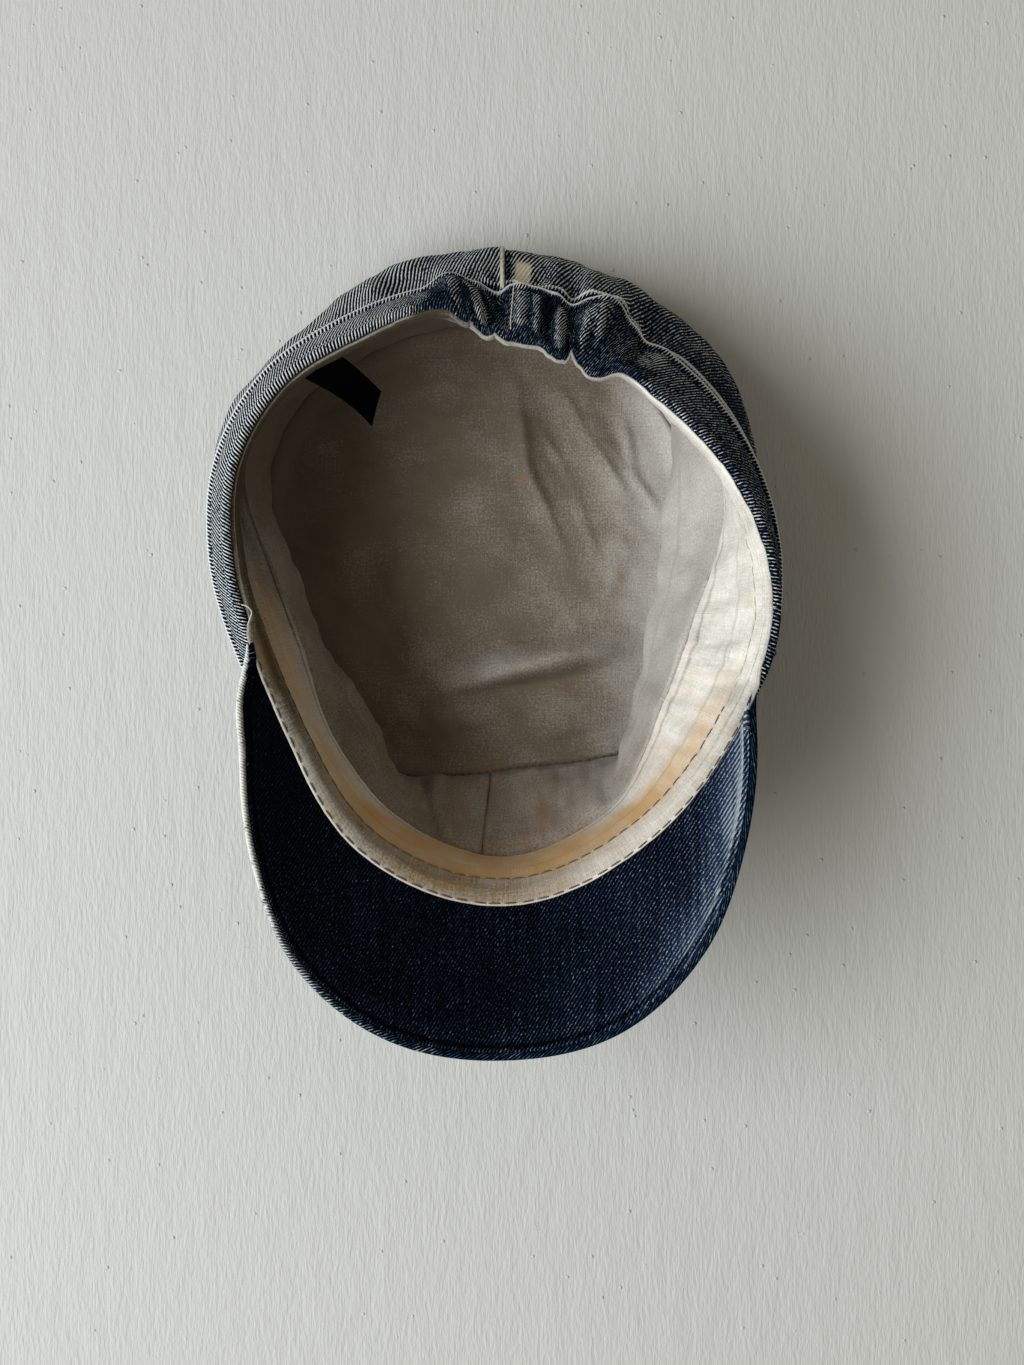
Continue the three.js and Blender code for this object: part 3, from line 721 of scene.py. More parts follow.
def skin(name, grid, cloth, marks, material, nodes, ends=None, poles=False):
    """A closed skin over a grid of rings [columns, rows].

    Rows close on themselves unless they run between two poles. Columns close round unless two
    ends are named: each end is then filled by a strip from a row to its partner across.
    """
    closed = ends is None
    m, k = grid.shape[:2]
    index = np.arange(m * k).reshape(m, k)
    if poles:
        index[:, 0] = index[0, 0]
        index[:, -1] = index[0, -1]
    if closed and len(cloth) == m:
        cloth = np.concatenate([cloth, cloth[:1]])
    i, j = np.meshgrid(np.arange(m if closed else m - 1), np.arange(k - 1 if poles else k),
                       indexing="ij")
    i, j = i.ravel(), j.ravel()
    i2, j2 = (i + 1) % m, (j + 1) % k
    quads = np.stack([index[i, j], index[i, j2], index[i2, j2], index[i2, j]], -1)
    corners = np.stack([cloth[i, j], cloth[i, j2], cloth[i + 1, j2], cloth[i + 1, j]], 1)
    if not closed:
        near, far = ends
        strip = np.stack([near[:-1], far[:-1], far[1:], near[1:]], -1)
        quads = np.concatenate([quads, index[0][strip[:, ::-1]], index[-1][strip]])
        corners = np.concatenate([corners, cloth[0][strip[:, ::-1]], cloth[-1][strip]])
    flat = {title: np.broadcast_to(values, (m, k)).ravel() for title, values in marks.items()}
    return add_mesh(name, grid.reshape(-1, 3), quads, corners, flat, material, nodes)


def cloth_map(sheet, closed, drawn=1.0):
    """Millimetres along the cloth: round it at half its depth, and down each column.

    Cloth that is drawn together holds more of them.
    """
    if closed:
        sheet = np.concatenate([sheet, sheet[:1]])
    middle = sheet[:, sheet.shape[1] // 2]
    u = np.cumsum(np.linalg.norm(np.diff(middle, axis=0), axis=-1) * drawn)
    u = np.concatenate([[0], u])
    v = length_run(sheet)
    return np.stack([np.broadcast_to(u[:, None], v.shape), v], -1)


def normals(sheet, closed):
    """Unit normals of a sheet: its way down crossed with its way round."""
    if closed:
        across = np.roll(sheet, -1, 0) - np.roll(sheet, 1, 0)
    else:
        across = np.gradient(sheet, axis=0)
    return unit(np.cross(np.gradient(sheet, axis=1), across))


# Angles of the points round a cloth's edge, from its outer face to its inner one.
LIP = np.radians([60, 30, 0, -30, -60])


def lip(outer, inner, out):
    """Half circle from one face to the other, round the cloth's edge."""
    middle, half = (outer + inner) / 2, (outer - inner) / 2
    reach = out * np.linalg.norm(half, axis=-1, keepdims=True)
    return np.stack([middle + math.cos(a) * reach + math.sin(a) * half for a in LIP], 1)


def spread(marks, sheet, row):
    """Marks of a sheet, given to the rows of its skin."""
    return {title: np.broadcast_to(v, sheet.shape[:2])[:, row] for title, v in marks.items()}


def thick_cloth(name, sheet, thick, material, marks, nodes, closed=False, back=None,
                cloth=None, slant=0.0, drawn=1.0):
    """Cloth whose outer face is the sheet, with its inner face a thickness behind.

    The first and last rows end in a half circle. Open columns end in a flat strip. A slant
    leans the weave, and drawn says how much longer the cloth is than the sheet that it gathers.
    """
    n = sheet.shape[1]
    if back is None:
        back = sheet - normals(sheet, closed) * thick
    over = lip(sheet[:, -1], back[:, -1], unit(sheet[:, -1] - sheet[:, -2]))
    under = lip(back[:, 0], sheet[:, 0], unit(sheet[:, 0] - sheet[:, 1]))
    grid = np.concatenate([sheet, over, back[:, ::-1], under], 1)
    edge = len(LIP)
    row = np.concatenate([np.arange(n), np.full(edge, n - 1), np.arange(n)[::-1],
                          np.zeros(edge, int)])
    if cloth is None:
        cloth = run_on(cloth_map(sheet, closed, drawn), grid, n, closed)
        cloth[..., 0] += slant * cloth[..., 1]
    else:
        cloth = cloth[:, row]
    away = np.arange(n + edge + 1)
    tip = n + edge // 2
    ends = None if closed else ((tip - away) % len(row), (tip + away) % len(row))
    return skin(name, grid, cloth, spread(marks, sheet, row), material, nodes, ends)


def run_on(cloth, grid, n, closed):
    """Cloth coordinates of the front rows, run on over both edges to the middle of the back."""
    if closed:
        grid = np.concatenate([grid, grid[:1]])
    step = np.linalg.norm(grid - np.roll(grid, 1, 1), axis=-1)
    ahead = cloth[:, -1:, 1] + np.cumsum(step[:, n:], 1)
    behind = np.cumsum(np.roll(step, -1, 1)[:, ::-1], 1)[:, ::-1][:, n:]
    behind = cloth[:, :1, 1] - behind
    rest = np.where(np.arange(grid.shape[1] - n) < (grid.shape[1] - n) // 2, ahead, behind)
    v = np.concatenate([cloth[..., 1], rest], 1)
    return np.stack([np.broadcast_to(cloth[:, :1, 0], v.shape), v], -1)


def round_cloth(name, sheet, thick, material, marks, nodes):
    """A round of cloth, from a sheet whose first row is its centre, with a rounded edge."""
    n = sheet.shape[1]
    normal = normals(sheet, True)
    normal[:, 0] = unit(normal[:, 1].mean(0))
    back = sheet - normal * thick
    over = lip(sheet[:, -1], back[:, -1], unit(sheet[:, -1] - sheet[:, -2]))
    grid = np.concatenate([sheet, over, back[:, ::-1]], 1)
    row = np.concatenate([np.arange(n), np.full(len(LIP), n - 1), np.arange(n)[::-1]])
    return skin(name, grid, sheet[:, row, :2], spread(marks, sheet, row), material, nodes,
                poles=True)


def tubes(name, paths, ups, radii, material, sides=6, flat=1.0):
    """Tubes along paths [count, rows, 3], each between two poles. ups point off the cloth."""
    ahead = unit(np.gradient(paths, axis=1))
    side = unit(np.cross(ahead, ups))
    up = np.cross(side, ahead)
    angle = 2 * np.pi * np.arange(sides) / sides
    c, s = np.cos(angle)[:, None, None], np.sin(angle)[:, None, None] * flat
    r = np.broadcast_to(radii, paths.shape[:2])[:, None, :, None]
    grid = paths[:, None] + r * (c * side[:, None] + s * up[:, None])
    count, _, rows = grid.shape[:3]
    index = np.arange(count * sides * rows).reshape(count, sides, rows)
    index[:, :, 0] = index[:, :1, 0]
    index[:, :, -1] = index[:, :1, -1]
    beside = np.roll(index, -1, axis=1)
    quads = np.stack([index[..., :-1], index[..., 1:], beside[..., 1:], beside[..., :-1]], -1)
    turn = np.arange(sides + 1) * 2 * np.pi * np.max(radii) / sides
    u = np.broadcast_to(turn[None, :, None], (count, sides + 1, rows))
    v = np.broadcast_to(length_run(paths)[:, None], (count, sides + 1, rows))
    at = np.stack([u, v], -1)
    corners = np.stack([at[:, :-1, :-1], at[:, :-1, 1:], at[:, 1:, 1:], at[:, 1:, :-1]], -2)
    return add_mesh(name, grid.reshape(-1, 3), quads.reshape(-1, 4), corners.reshape(-1, 4, 2),
                    {}, material)


def on_face(sheet, b, t, lift, step):
    """Points over a sheet's outer face, or behind it if lift is negative, and the way off it."""
    b, t = np.broadcast_arrays(np.asarray(b, float), np.asarray(t, float))
    b, t = b[:, None], t[:, None]
    place = sheet(b, t)[:, 0]
    down = (sheet(b, t + step) - sheet(b, t - step))[:, 0]
    across = (sheet(b + 0.15, t) - sheet(b - 0.15, t))[:, 0]
    off = unit(np.cross(down, across))
    return place + off * lift, off * np.sign(lift)


# A stitch along its length: where its rows lie, its girth at each, and how far its ends sink.
STITCH_ROWS = np.array([-0.5, -0.44, -0.25, 0, 0.25, 0.44, 0.5])
STITCH_GIRTH = np.array([0.0, 0.7, 1.0, 1.0, 1.0, 0.7, 0.0])
STITCH_SINK = 0.6


def stitches(name, path, up, pitch, length, width, material, seed):
    """A row of stitches: each is a short thread that rises from the cloth and dips back in."""
    gone = length_run(path[None])[0]
    rng = np.random.default_rng(seed)
    middle = np.arange(pitch / 2, gone[-1], pitch)
    middle = middle + rng.uniform(-0.08, 0.08, len(middle)) * pitch
    at = middle[:, None] + STITCH_ROWS * length
    place = np.stack([np.interp(at, gone, path[:, k]) for k in range(3)], -1)
    off = unit(np.stack([np.interp(at, gone, up[:, k]) for k in range(3)], -1))
    rise = width * (0.5 - STITCH_SINK * (2 * np.abs(STITCH_ROWS)) ** 3)
    place = place + off * rise[:, None]
    sway = np.cross(unit(np.gradient(place, axis=1)), off)
    place = place + sway * rng.uniform(-0.12, 0.12, (len(middle), 1, 1)) * STITCH_ROWS[:, None]
    return tubes(name, place, off, STITCH_GIRTH * width / 2, material, flat=0.8)


# Materials

# A wave texture repeats every 0.314 units, so a rib pitch in millimetres divides this scale.
WAVE_OF_ONE = math.pi / 10


def linear(colour):
    """Linear red, green, blue and alpha of an sRGB hex value."""
    parts = [int(colour[i:i + 2], 16) / 255 for i in (1, 3, 5)]
    return [c / 12.92 if c <= 0.04045 else ((c + 0.055) / 1.055) ** 2.4 for c in parts] + [1.0]


def node(tree, kind, *given, **settings):
    """Adds a node with its settings, links or sets its inputs, and gives its outputs.

    Inputs are given in the node's own order, or by name in one dictionary.
    """
    new = tree.nodes.new("ShaderNode" + kind)
    for key, value in settings.items():
        setattr(new, key, value)
    by_name = given and isinstance(given[0], dict)
    for key, value in (given[0] if by_name else dict(enumerate(given))).items():
        if isinstance(value, bpy.types.NodeSocket):
            tree.links.new(value, new.inputs[key])
        else:
            new.inputs[key].default_value = value
    return new.outputs


def start_material(name):
    """An empty material, and the call that adds nodes to it."""
    material = bpy.data.materials.new(name)
    material.use_nodes = True
    material.node_tree.nodes.clear()
    return material, functools.partial(node, material.node_tree)


def denim(name, dark, mid, pale, lean, pitch, ribs_show, flecks, base_tone, cloudy, plain):
    """Cotton twill with indigo warp over white weft, stone washed: it gives the eye pale
    diagonal ribs on near-black grooves, broken into flecks, and cream worn edges.
    """
    material, n = start_material(name)
    cloth = n("Attribute", attribute_name="cloth")["Vector"]
    wear, fade, tint = (n("Attribute", attribute_name=title)["Fac"]
                        for title in ("wear", "fade", "tint"))
    twill = n("Mapping", {"Vector": cloth, "Rotation": (0, 0, math.radians(lean))})[0]
    wave = n("TexWave", {"Vector": twill, "Scale": WAVE_OF_ONE / pitch, "Distortion": 1.1,
                         "Detail": 2.0, "Detail Scale": 0.7, "Detail Roughness": 0.7})["Fac"]
    ribs = n("MapRange", wave, 0.47, 0.83, interpolation_type="SMOOTHSTEP")[0]
    # Flecks are lone weft threads of 0.4 mm, drawn up to half as wide again so that they show.
    fleck_low, fleck_high, fleck_least, fleck_rate = flecks
    fleck_at = n("Mapping", {"Vector": twill, "Scale": (fleck_rate, 0.3 * fleck_rate, 1)})[0]
    fleck = n("TexNoise", {"Vector": fleck_at, "Scale": 1.0, "Detail": 2.0,
                           "Roughness": 0.65})["Fac"]
    broken = n("MapRange", fleck, fleck_low, fleck_high, fleck_least,
               interpolation_type="SMOOTHSTEP")[0]
    slub_at = n("Mapping", {"Vector": cloth, "Scale": (0.7, 0.035, 1)})[0]
    slub = n("TexNoise", {"Vector": slub_at, "Scale": 1.0, "Detail": 2.0})["Fac"]
    patch = n("TexNoise", {"Vector": cloth, "Scale": 0.045, "Detail": 3.0})["Fac"]
    # The tone of the cloth, from 0 for its ground to 1 for bare cotton.
    tone = n("Math", ribs, broken, operation="MULTIPLY")[0]
    tone = n("Math", tone, ribs_show, base_tone, operation="MULTIPLY_ADD")[0]
    # The fade mark holds real fading, painted shade in grooves, and painted light on pleat puffs.
    for part, share in ((slub, 0.5), (patch, cloudy), (fade, 1.0)):
        change = n("Math", part, share, -share * 0.5, operation="MULTIPLY_ADD")[0]
        tone = n("Math", tone, change, operation="ADD")[0]
    streak = n("MapRange", slub, 0.35, 0.65, 0.5 + 0.4 * plain, 1.25 - 0.2 * plain)[0]
    worn = n("Math", wear, streak, operation="MULTIPLY")[0]
    ridged = n("MapRange", ribs, 0.0, 1.0, plain, 1.25 - 0.3 * plain)[0]
    worn = n("Math", worn, ridged, operation="MULTIPLY")[0]
    tone = n("Math", worn, 0.9, tone, operation="MULTIPLY_ADD")[0]
    low = n("MapRange", tone, 0.0, 0.55, interpolation_type="SMOOTHSTEP")[0]
    high = n("MapRange", tone, 0.5, 1.05, interpolation_type="SMOOTHSTEP")[0]
    colour = n("Mix", {0: low, 6: dark, 7: mid}, data_type="RGBA")[2]
    colour = n("Mix", {0: high, 6: colour, 7: pale}, data_type="RGBA")[2]
    bare = n("MapRange", wear, 0.55, 1.05, 0.0, 0.8)[0]
    colour = n("Mix", {0: bare, 6: colour, 7: pale}, data_type="RGBA")[2]
    high = n("Math", bare, high, operation="MAXIMUM")[0]
    yellow = n("Math", tint, high, operation="MULTIPLY")[0]
    colour = n("Mix", {0: yellow, 6: colour, 7: linear("#e2d3ae")}, data_type="RGBA")[2]
    height = n("Math", wave, fleck, operation="ADD")[0]
    # Rubbed edges are matted flat, so the ribs stand out less there.
    flat = n("MapRange", bare, 0.0, 0.8, 1.0, 0.25)[0]
    height = n("Math", height, flat, operation="MULTIPLY")[0]
    bump = n("Bump", {"Height": height, "Strength": 1.0, "Distance": 0.0004})[0]
    n("OutputMaterial", n("BsdfPrincipled", {
        "Base Color": colour, "Normal": bump, "Roughness": 0.95, "Specular IOR Level": 0.04})[0])
    return material


def cotton(name, colour, shade, stain, thread, relief, grainy):
    """Plain-woven cotton, bleached then soiled: it gives the eye a soft matt ground with fine
    slubs both ways, blotches of dirt, tan stains from the skin, and painted shade.
    """
    material, n = start_material(name)
    cloth = n("Attribute", attribute_name="cloth")["Vector"]
    soil, grime = (n("Attribute", attribute_name=title)["Fac"] for title in ("stain", "grime"))
    # Threads of 0.3 mm, drawn at the given pitch so that the weave shows.
    warp, weft = (n("TexWave", {"Vector": cloth, "Scale": WAVE_OF_ONE / thread, "Distortion": 1.5,
                                "Detail": 2.0, "Detail Scale": 0.8}, bands_direction=way)["Fac"]
                  for way in "XY")
    weave = n("Math", warp, weft, operation="MULTIPLY")[0]
    weave = n("Math", weave, 0.5, operation="MULTIPLY")[0]
    slubs = []
    for scale in ((1.7, 0.12, 1), (0.12, 1.7, 1)):
        at = n("Mapping", {"Vector": cloth, "Scale": scale})[0]
        slubs.append(n("TexNoise", {"Vector": at, "Scale": 1.0, "Detail": 2.0})["Fac"])
    slub = n("Math", *slubs, operation="ADD")[0]
    blotch = n("TexNoise", {"Vector": cloth, "Scale": 0.05, "Detail": 4.0,
                            "Roughness": 0.6})["Fac"]
    dull = n("MapRange", blotch, 0.42, 0.75)[0]
    # This mark darkens the cloth with real dirt and with painted shade, and lightens the tape's
    # lip.
    dull = n("Math", dull, 0.2, grime, operation="MULTIPLY_ADD")[0]
    thready = n("MapRange", slub, 0.75, 1.3, 0.16, 0.0)[0]
    grain = n("TexNoise", {"Vector": cloth, "Scale": 1.3, "Detail": 3.0, "Roughness": 0.7})["Fac"]
    grain = n("Math", grain, grainy, -0.5 * grainy, operation="MULTIPLY_ADD")[0]
    dull = n("Math", dull, grain, operation="ADD")[0]
    dull = n("Math", dull, thready, operation="ADD", use_clamp=True)[0]
    base = n("Mix", {0: dull, 6: colour, 7: shade}, data_type="RGBA")[2]
    edge = n("Math", blotch, 0.5, -0.25, operation="MULTIPLY_ADD")[0]
    soiled = n("Math", soil, edge, operation="ADD")[0]
    soiled = n("MapRange", soiled, 0.08, 0.95)[0]
    base = n("Mix", {0: soiled, 6: base, 7: stain}, data_type="RGBA")[2]
    height = n("Math", weave, slub, operation="ADD")[0]
    bump = n("Bump", {"Height": height, "Strength": 0.7, "Distance": relief})[0]
    n("OutputMaterial", n("BsdfPrincipled", {
        "Base Color": base, "Normal": bump, "Roughness": 0.9, "Specular IOR Level": 0.2,
        "Sheen Weight": 0.05, "Sheen Roughness": 0.5})[0])
    return material


def satin(name, colour):
    """Woven satin ribbon of dyed polyester: black, with a soft gloss and fine cross ribs."""
    material, n = start_material(name)
    cloth = n("Attribute", attribute_name="cloth")["Vector"]
    ribs = n("TexWave", {"Vector": cloth, "Scale": WAVE_OF_ONE / 0.8, "Distortion": 0.5,
                         "Detail": 1.0}, bands_direction="Y")["Fac"]
    dust = n("TexNoise", {"Vector": cloth, "Scale": 0.6, "Detail": 4.0})["Fac"]
    lint = n("MapRange", dust, 0.62, 0.8, 0.0, 0.03)[0]
    base = n("Mix", {0: lint, 6: colour, 7: linear("#5a5753")}, data_type="RGBA")[2]
    bump = n("Bump", {"Height": ribs, "Strength": 0.5, "Distance": 0.0001})[0]
    n("OutputMaterial", n("BsdfPrincipled", {
        "Base Color": base, "Normal": bump, "Roughness": 0.8, "Specular IOR Level": 0.02})[0])
    return material


def thread(name, colour, light):
    """Spun cotton sewing thread: matt, with a twist every half millimetre and a dusty side."""
    material, n = start_material(name)
    cloth = n("Attribute", attribute_name="cloth")["Vector"]
    at = n("Mapping", {"Vector": cloth, "Rotation": (0, 0, math.radians(55))})[0]
    twist = n("TexWave", {"Vector": at, "Scale": WAVE_OF_ONE / 0.5}, bands_direction="X")["Fac"]
    base = n("Mix", {0: twist, 6: colour, 7: light}, data_type="RGBA")[2]
    bump = n("Bump", {"Height": twist, "Strength": 0.6, "Distance": 0.0001})[0]
    n("OutputMaterial", n("BsdfPrincipled", {
        "Base Color": base, "Normal": bump, "Roughness": 0.85})[0])
    return material


def painted_board(name, colour):
    """Board under brushed eggshell paint: pale grey, with faint long strokes and dried nibs."""
    material, n = start_material(name)
    place = n("TexCoord")["Object"]
    strokes_at = n("Mapping", {"Vector": place, "Scale": (900, 190, 1)})[0]
    strokes = n("TexNoise", {"Vector": strokes_at, "Scale": 1.0, "Detail": 4.0,
                             "Roughness": 0.6})["Fac"]
    swell_at = n("Mapping", {"Vector": place, "Scale": (150, 40, 1)})[0]
    swell = n("TexNoise", {"Vector": swell_at, "Scale": 1.0, "Detail": 2.0})["Fac"]
    nibs = n("TexVoronoi", {"Vector": place, "Scale": 110.0})["Distance"]
    nib = n("MapRange", nibs, 0.02, 0.09, 1.0, 0.0, interpolation_type="SMOOTHSTEP")[0]
    height = n("Math", strokes, swell, operation="ADD")[0]
    height = n("Math", nib, 0.9, height, operation="MULTIPLY_ADD")[0]
    bump = n("Bump", {"Height": height, "Strength": 1.0, "Distance": 0.0004})[0]
    n("OutputMaterial", n("BsdfPrincipled", {
        "Base Color": colour, "Normal": bump, "Roughness": 0.55})[0])
    return material


# Finishes: the function that makes each, and its values. A colour is the name of one in the
# panel, or an sRGB hex value. Flecks are given by the range of noise that they come from, the
# least tone between them, and their number in a millimetre.
INDIGO = {"dark": "indigo_dark", "mid": "indigo_mid", "pale": "indigo_pale"}
FINISHES = {
    "washed indigo denim": (denim, dict(
        INDIGO, lean=-13.0, pitch=TWILL_PITCH, ribs_show=1.75, flecks=(0.3, 0.62, 0.55, 1.7),
        base_tone=-0.46, cloudy=1.0, plain=0.3)),
    "gathered indigo denim": (denim, dict(
        INDIGO, lean=-14.0, pitch=BAND_TWILL_PITCH, ribs_show=1.7, flecks=(0.3, 0.62, 0.5, 1.9),
        base_tone=-0.46, cloudy=1.0, plain=0.6)),
    "dark indigo denim": (denim, dict(
        dark="peak_dark", mid="peak_mid", pale="#9fb0bd", lean=-31.0, pitch=PEAK_TWILL_PITCH,
        ribs_show=1.15, flecks=(0.42, 0.8, 0.2, 3.6), base_tone=-0.08, cloudy=0.3, plain=0.8)),
    # The washed cloth, drawn tight on the bias round the peak's edge, so its ribs lie closer.
    "washed denim on the bias": (denim, dict(
        INDIGO, lean=-52.0, pitch=ROLLED_TWILL_PITCH, ribs_show=0.8,
        flecks=(0.34, 0.62, 0.3, 1.4), base_tone=0.0, cloudy=0.6, plain=0.8)),
    "cream cotton": (cotton, dict(
        colour="cream", shade="#453d2e", stain="stain", thread=0.7, relief=0.00015, grainy=0.55)),
    "lining cotton": (cotton, dict(
        colour="lining", shade="#6d6355", stain="#8f6b4c", thread=0.75, relief=0.00012,
        grainy=1.2)),
    "black satin ribbon": (satin, dict(colour="label")),
    "olive cotton thread": (thread, dict(colour="thread", light="#6b614e")),
    "cream cotton thread": (thread, dict(colour="#b3ab98", light="#ded6c6")),
    "navy cotton thread": (thread, dict(colour="#131c2e", light="#2c3a52")),
    "brushed eggshell paint": (painted_board, dict(colour="floor")),
}


def looked_up(value):
    """A value of a finish: a hex value turned to linear, a colour of the panel, or as it is."""
    if not isinstance(value, str):
        return value
    if value.startswith("#"):
        return linear(value)
    return getattr(bpy.context.scene.cap_colours, value)


def finish(name):
    """The material of a finish, made the first time that it is asked for."""
    if name in bpy.data.materials:
        return bpy.data.materials[name]
    maker, values = FINISHES[name]
    return maker(name, **{key: looked_up(value) for key, value in values.items()})


# Operators

def bearings(first, last, step=0.8, fine=0.35):
    """Bearings from first to last, closer where the elastic gathers and at the back seam."""
    pieces = [(0, 57, step), (57, 74, fine), (74, 98, fine * 0.6), (98, 107, fine),
              (107, 360, step)]
    every = np.concatenate([np.arange(a, b - 0.05, s) + turn for turn in (0, 360)
                            for a, b, s in pieces])
    if last - first >= 360:
        return every[:len(every) // 2]
    inside = every[(every > first + 0.1) & (every < last - 0.1)]
    return np.concatenate([[first], inside, [last]])


def rows(*stretches):
    """Row positions: each stretch is (from, to, count), and the last one keeps its end."""
    parts = [np.linspace(a, b, count, endpoint=False) for a, b, count in stretches]
    return np.concatenate([*parts, [stretches[-1][1]]])


def blotches(b, reach):
    """Soft blotches that lie in the sweatband's creases, at 0.5 in the mean."""
    x, y = level(b, SWEATBAND_MEAN)
    return 0.5 + ripple(83, 12, x, y, 0.6 * reach + 0.2 * x) + 0.4 * ripple(84, 3.5, x, y, reach)


def fading(b):
    """Wash of the denim, 0.5 for the mean: most at the back left, least at the right."""
    return 0.3 + 0.4 * hump(turn_between(b, 138), 75) - 0.16 * hump(turn_between(b, 20), 60)


class CAP_OT_crown(bpy.types.Operator):
    """Builds the crown: its flat top and the two halves of its side"""
    bl_idname = "cap.crown"
    bl_label = "Crown"

    def execute(self, context):
        t = rows((0, 0.08, 22), (0.08, 1, 64))
        sides = (("crown_side_left", CENTRE_BACK, CENTRE_FRONT),
                 ("crown_side_right", CENTRE_FRONT, CENTRE_BACK + 360))
        for name, first, last in sides:
            b = bearings(first + SEAM_GAP_DEGREES, last - SEAM_GAP_DEGREES)[:, None]
            sheet = crown_sheet(b, t)
            d = length_run(sheet)
            right = hump(turn_between(b, 45), 80)
            turn = turn_between(CENTRE_BACK, b)
            ridge = bell(turn, -0.5, 0.4) * (first < 180) * smooth(d, 0, 2)
            beside = smooth(turn, 1.1, 1.9) * (1 - smooth(turn, 3.8, 5.2))
            patch = beside * (1 - smooth(d, 22, 34)) * (first > 180)
            gutter_shade = bell(turn, 0.5, 0.6) * (first > 180)
            wear = (1.4 * right + 0.1) * bell(d, 4.2, 0.9) + 1.6 * ridge + 0.95 * patch
            wear = wear + 0.5 * bell(t, 1, 0.03)
            relief = ripple(71, 8, *np.moveaxis(sheet, -1, 0))
            # Painted shade: darker under the band's fold and in the gutter beside the back ridge.
            fade = (fading(b) + 0.1 * relief + 0.08 * smooth(d, 10, 60) + 0.45 * patch
                    - 0.38 * hump(turn_between(b, 20), 65)
                    + 0.4 * ridge - 0.6 * bell(d, 1.4, 1.8) - 0.45 * gutter_shade)
            tint = 0.75 * patch + 0.6 * ridge
            thick_cloth(f"denim_{name}", sheet, DENIM, finish("washed indigo denim"),
                        {"wear": wear, "fade": fade, "tint": tint}, [name])
        b = np.arange(0, 360, 2.0)[:, None]
        sheet = crown_top_sheet(b, rows((0, 0.9, 24), (0.9, 1, 8)))
        wear = 0.5 * bell(np.linspace(0, 1, sheet.shape[1]), 1, 0.1)
        round_cloth("denim_crown_top", sheet, DENIM, finish("washed indigo denim"),
                    {"wear": wear, "fade": 0.5, "tint": 0.1}, ["crown_top"])
        return {"FINISHED"}


class CAP_OT_band(bpy.types.Operator):
    """Builds the band round the head, gathered and pleated at the back"""
    bl_idname = "cap.band"
    bl_label = "Band"

    def execute(self, context):
        b = bearings(0, 360)[:, None]
        t = rows((0, 0.16, 10), (0.16, 0.9, 26), (0.9, 1, 12))
        # Away from the peak the hem stands a little above the rim.
        t = t - HEM_RISE / BAND_WIDTH * (1 - peak_share(b)) * (1 - smooth(t, 0, 0.3))
        sheet = band_sheet(b, t)
        base = band_curve(b, t)
        ahead = band_curve(b, t + 0.004) - band_curve(b, t - 0.004)
        d = t * BAND_WIDTH
        hem = DENIM + HEM_FOLD * (1 - peak_share(b)) * (1 - smooth(d, 0.5, 5))
        inward = unit(np.stack([ahead[..., 1], -ahead[..., 0]], -1)) * hem[..., None]
        push = np.clip(pleat_push(b, t), -1, 1)
        left = hump(turn_between(b, 150), 75)
        right = hump(turn_between(b, 50), 80)
        edge = np.clip(1.7 * bell(d, BAND_WIDTH - 0.6, 1.1) - 0.45, 0, 1)
        wear = (1.1 + 0.3 * left) * edge
        # Painted shade in pleat hollows and above the seam's fold; painted light on pleat puffs.
        fade = (fading(b) + 0.72 * push - 0.58 * gathered(b)
                + 0.2 * edge - 0.3 * bell(d, BAND_WIDTH - 3.8, 1.1) + 0.05 * bell(d, 0.5, 2))
        thick_cloth("denim_band", sheet, DENIM, finish("gathered indigo denim"),
                    {"wear": wear, "fade": fade, "tint": 0.3 * edge * right}, ["band"], closed=True,
                    back=turned(base + inward + point(scallop(b, d, 2), 0), b),
                    slant=0.26 * hump(turn_between(np.append(b, b[:1])[:, None], 82), 62),
                    drawn=1 + 0.35 * hump(turn_between(b[:, 0], 85), 45))
        return {"FINISHED"}


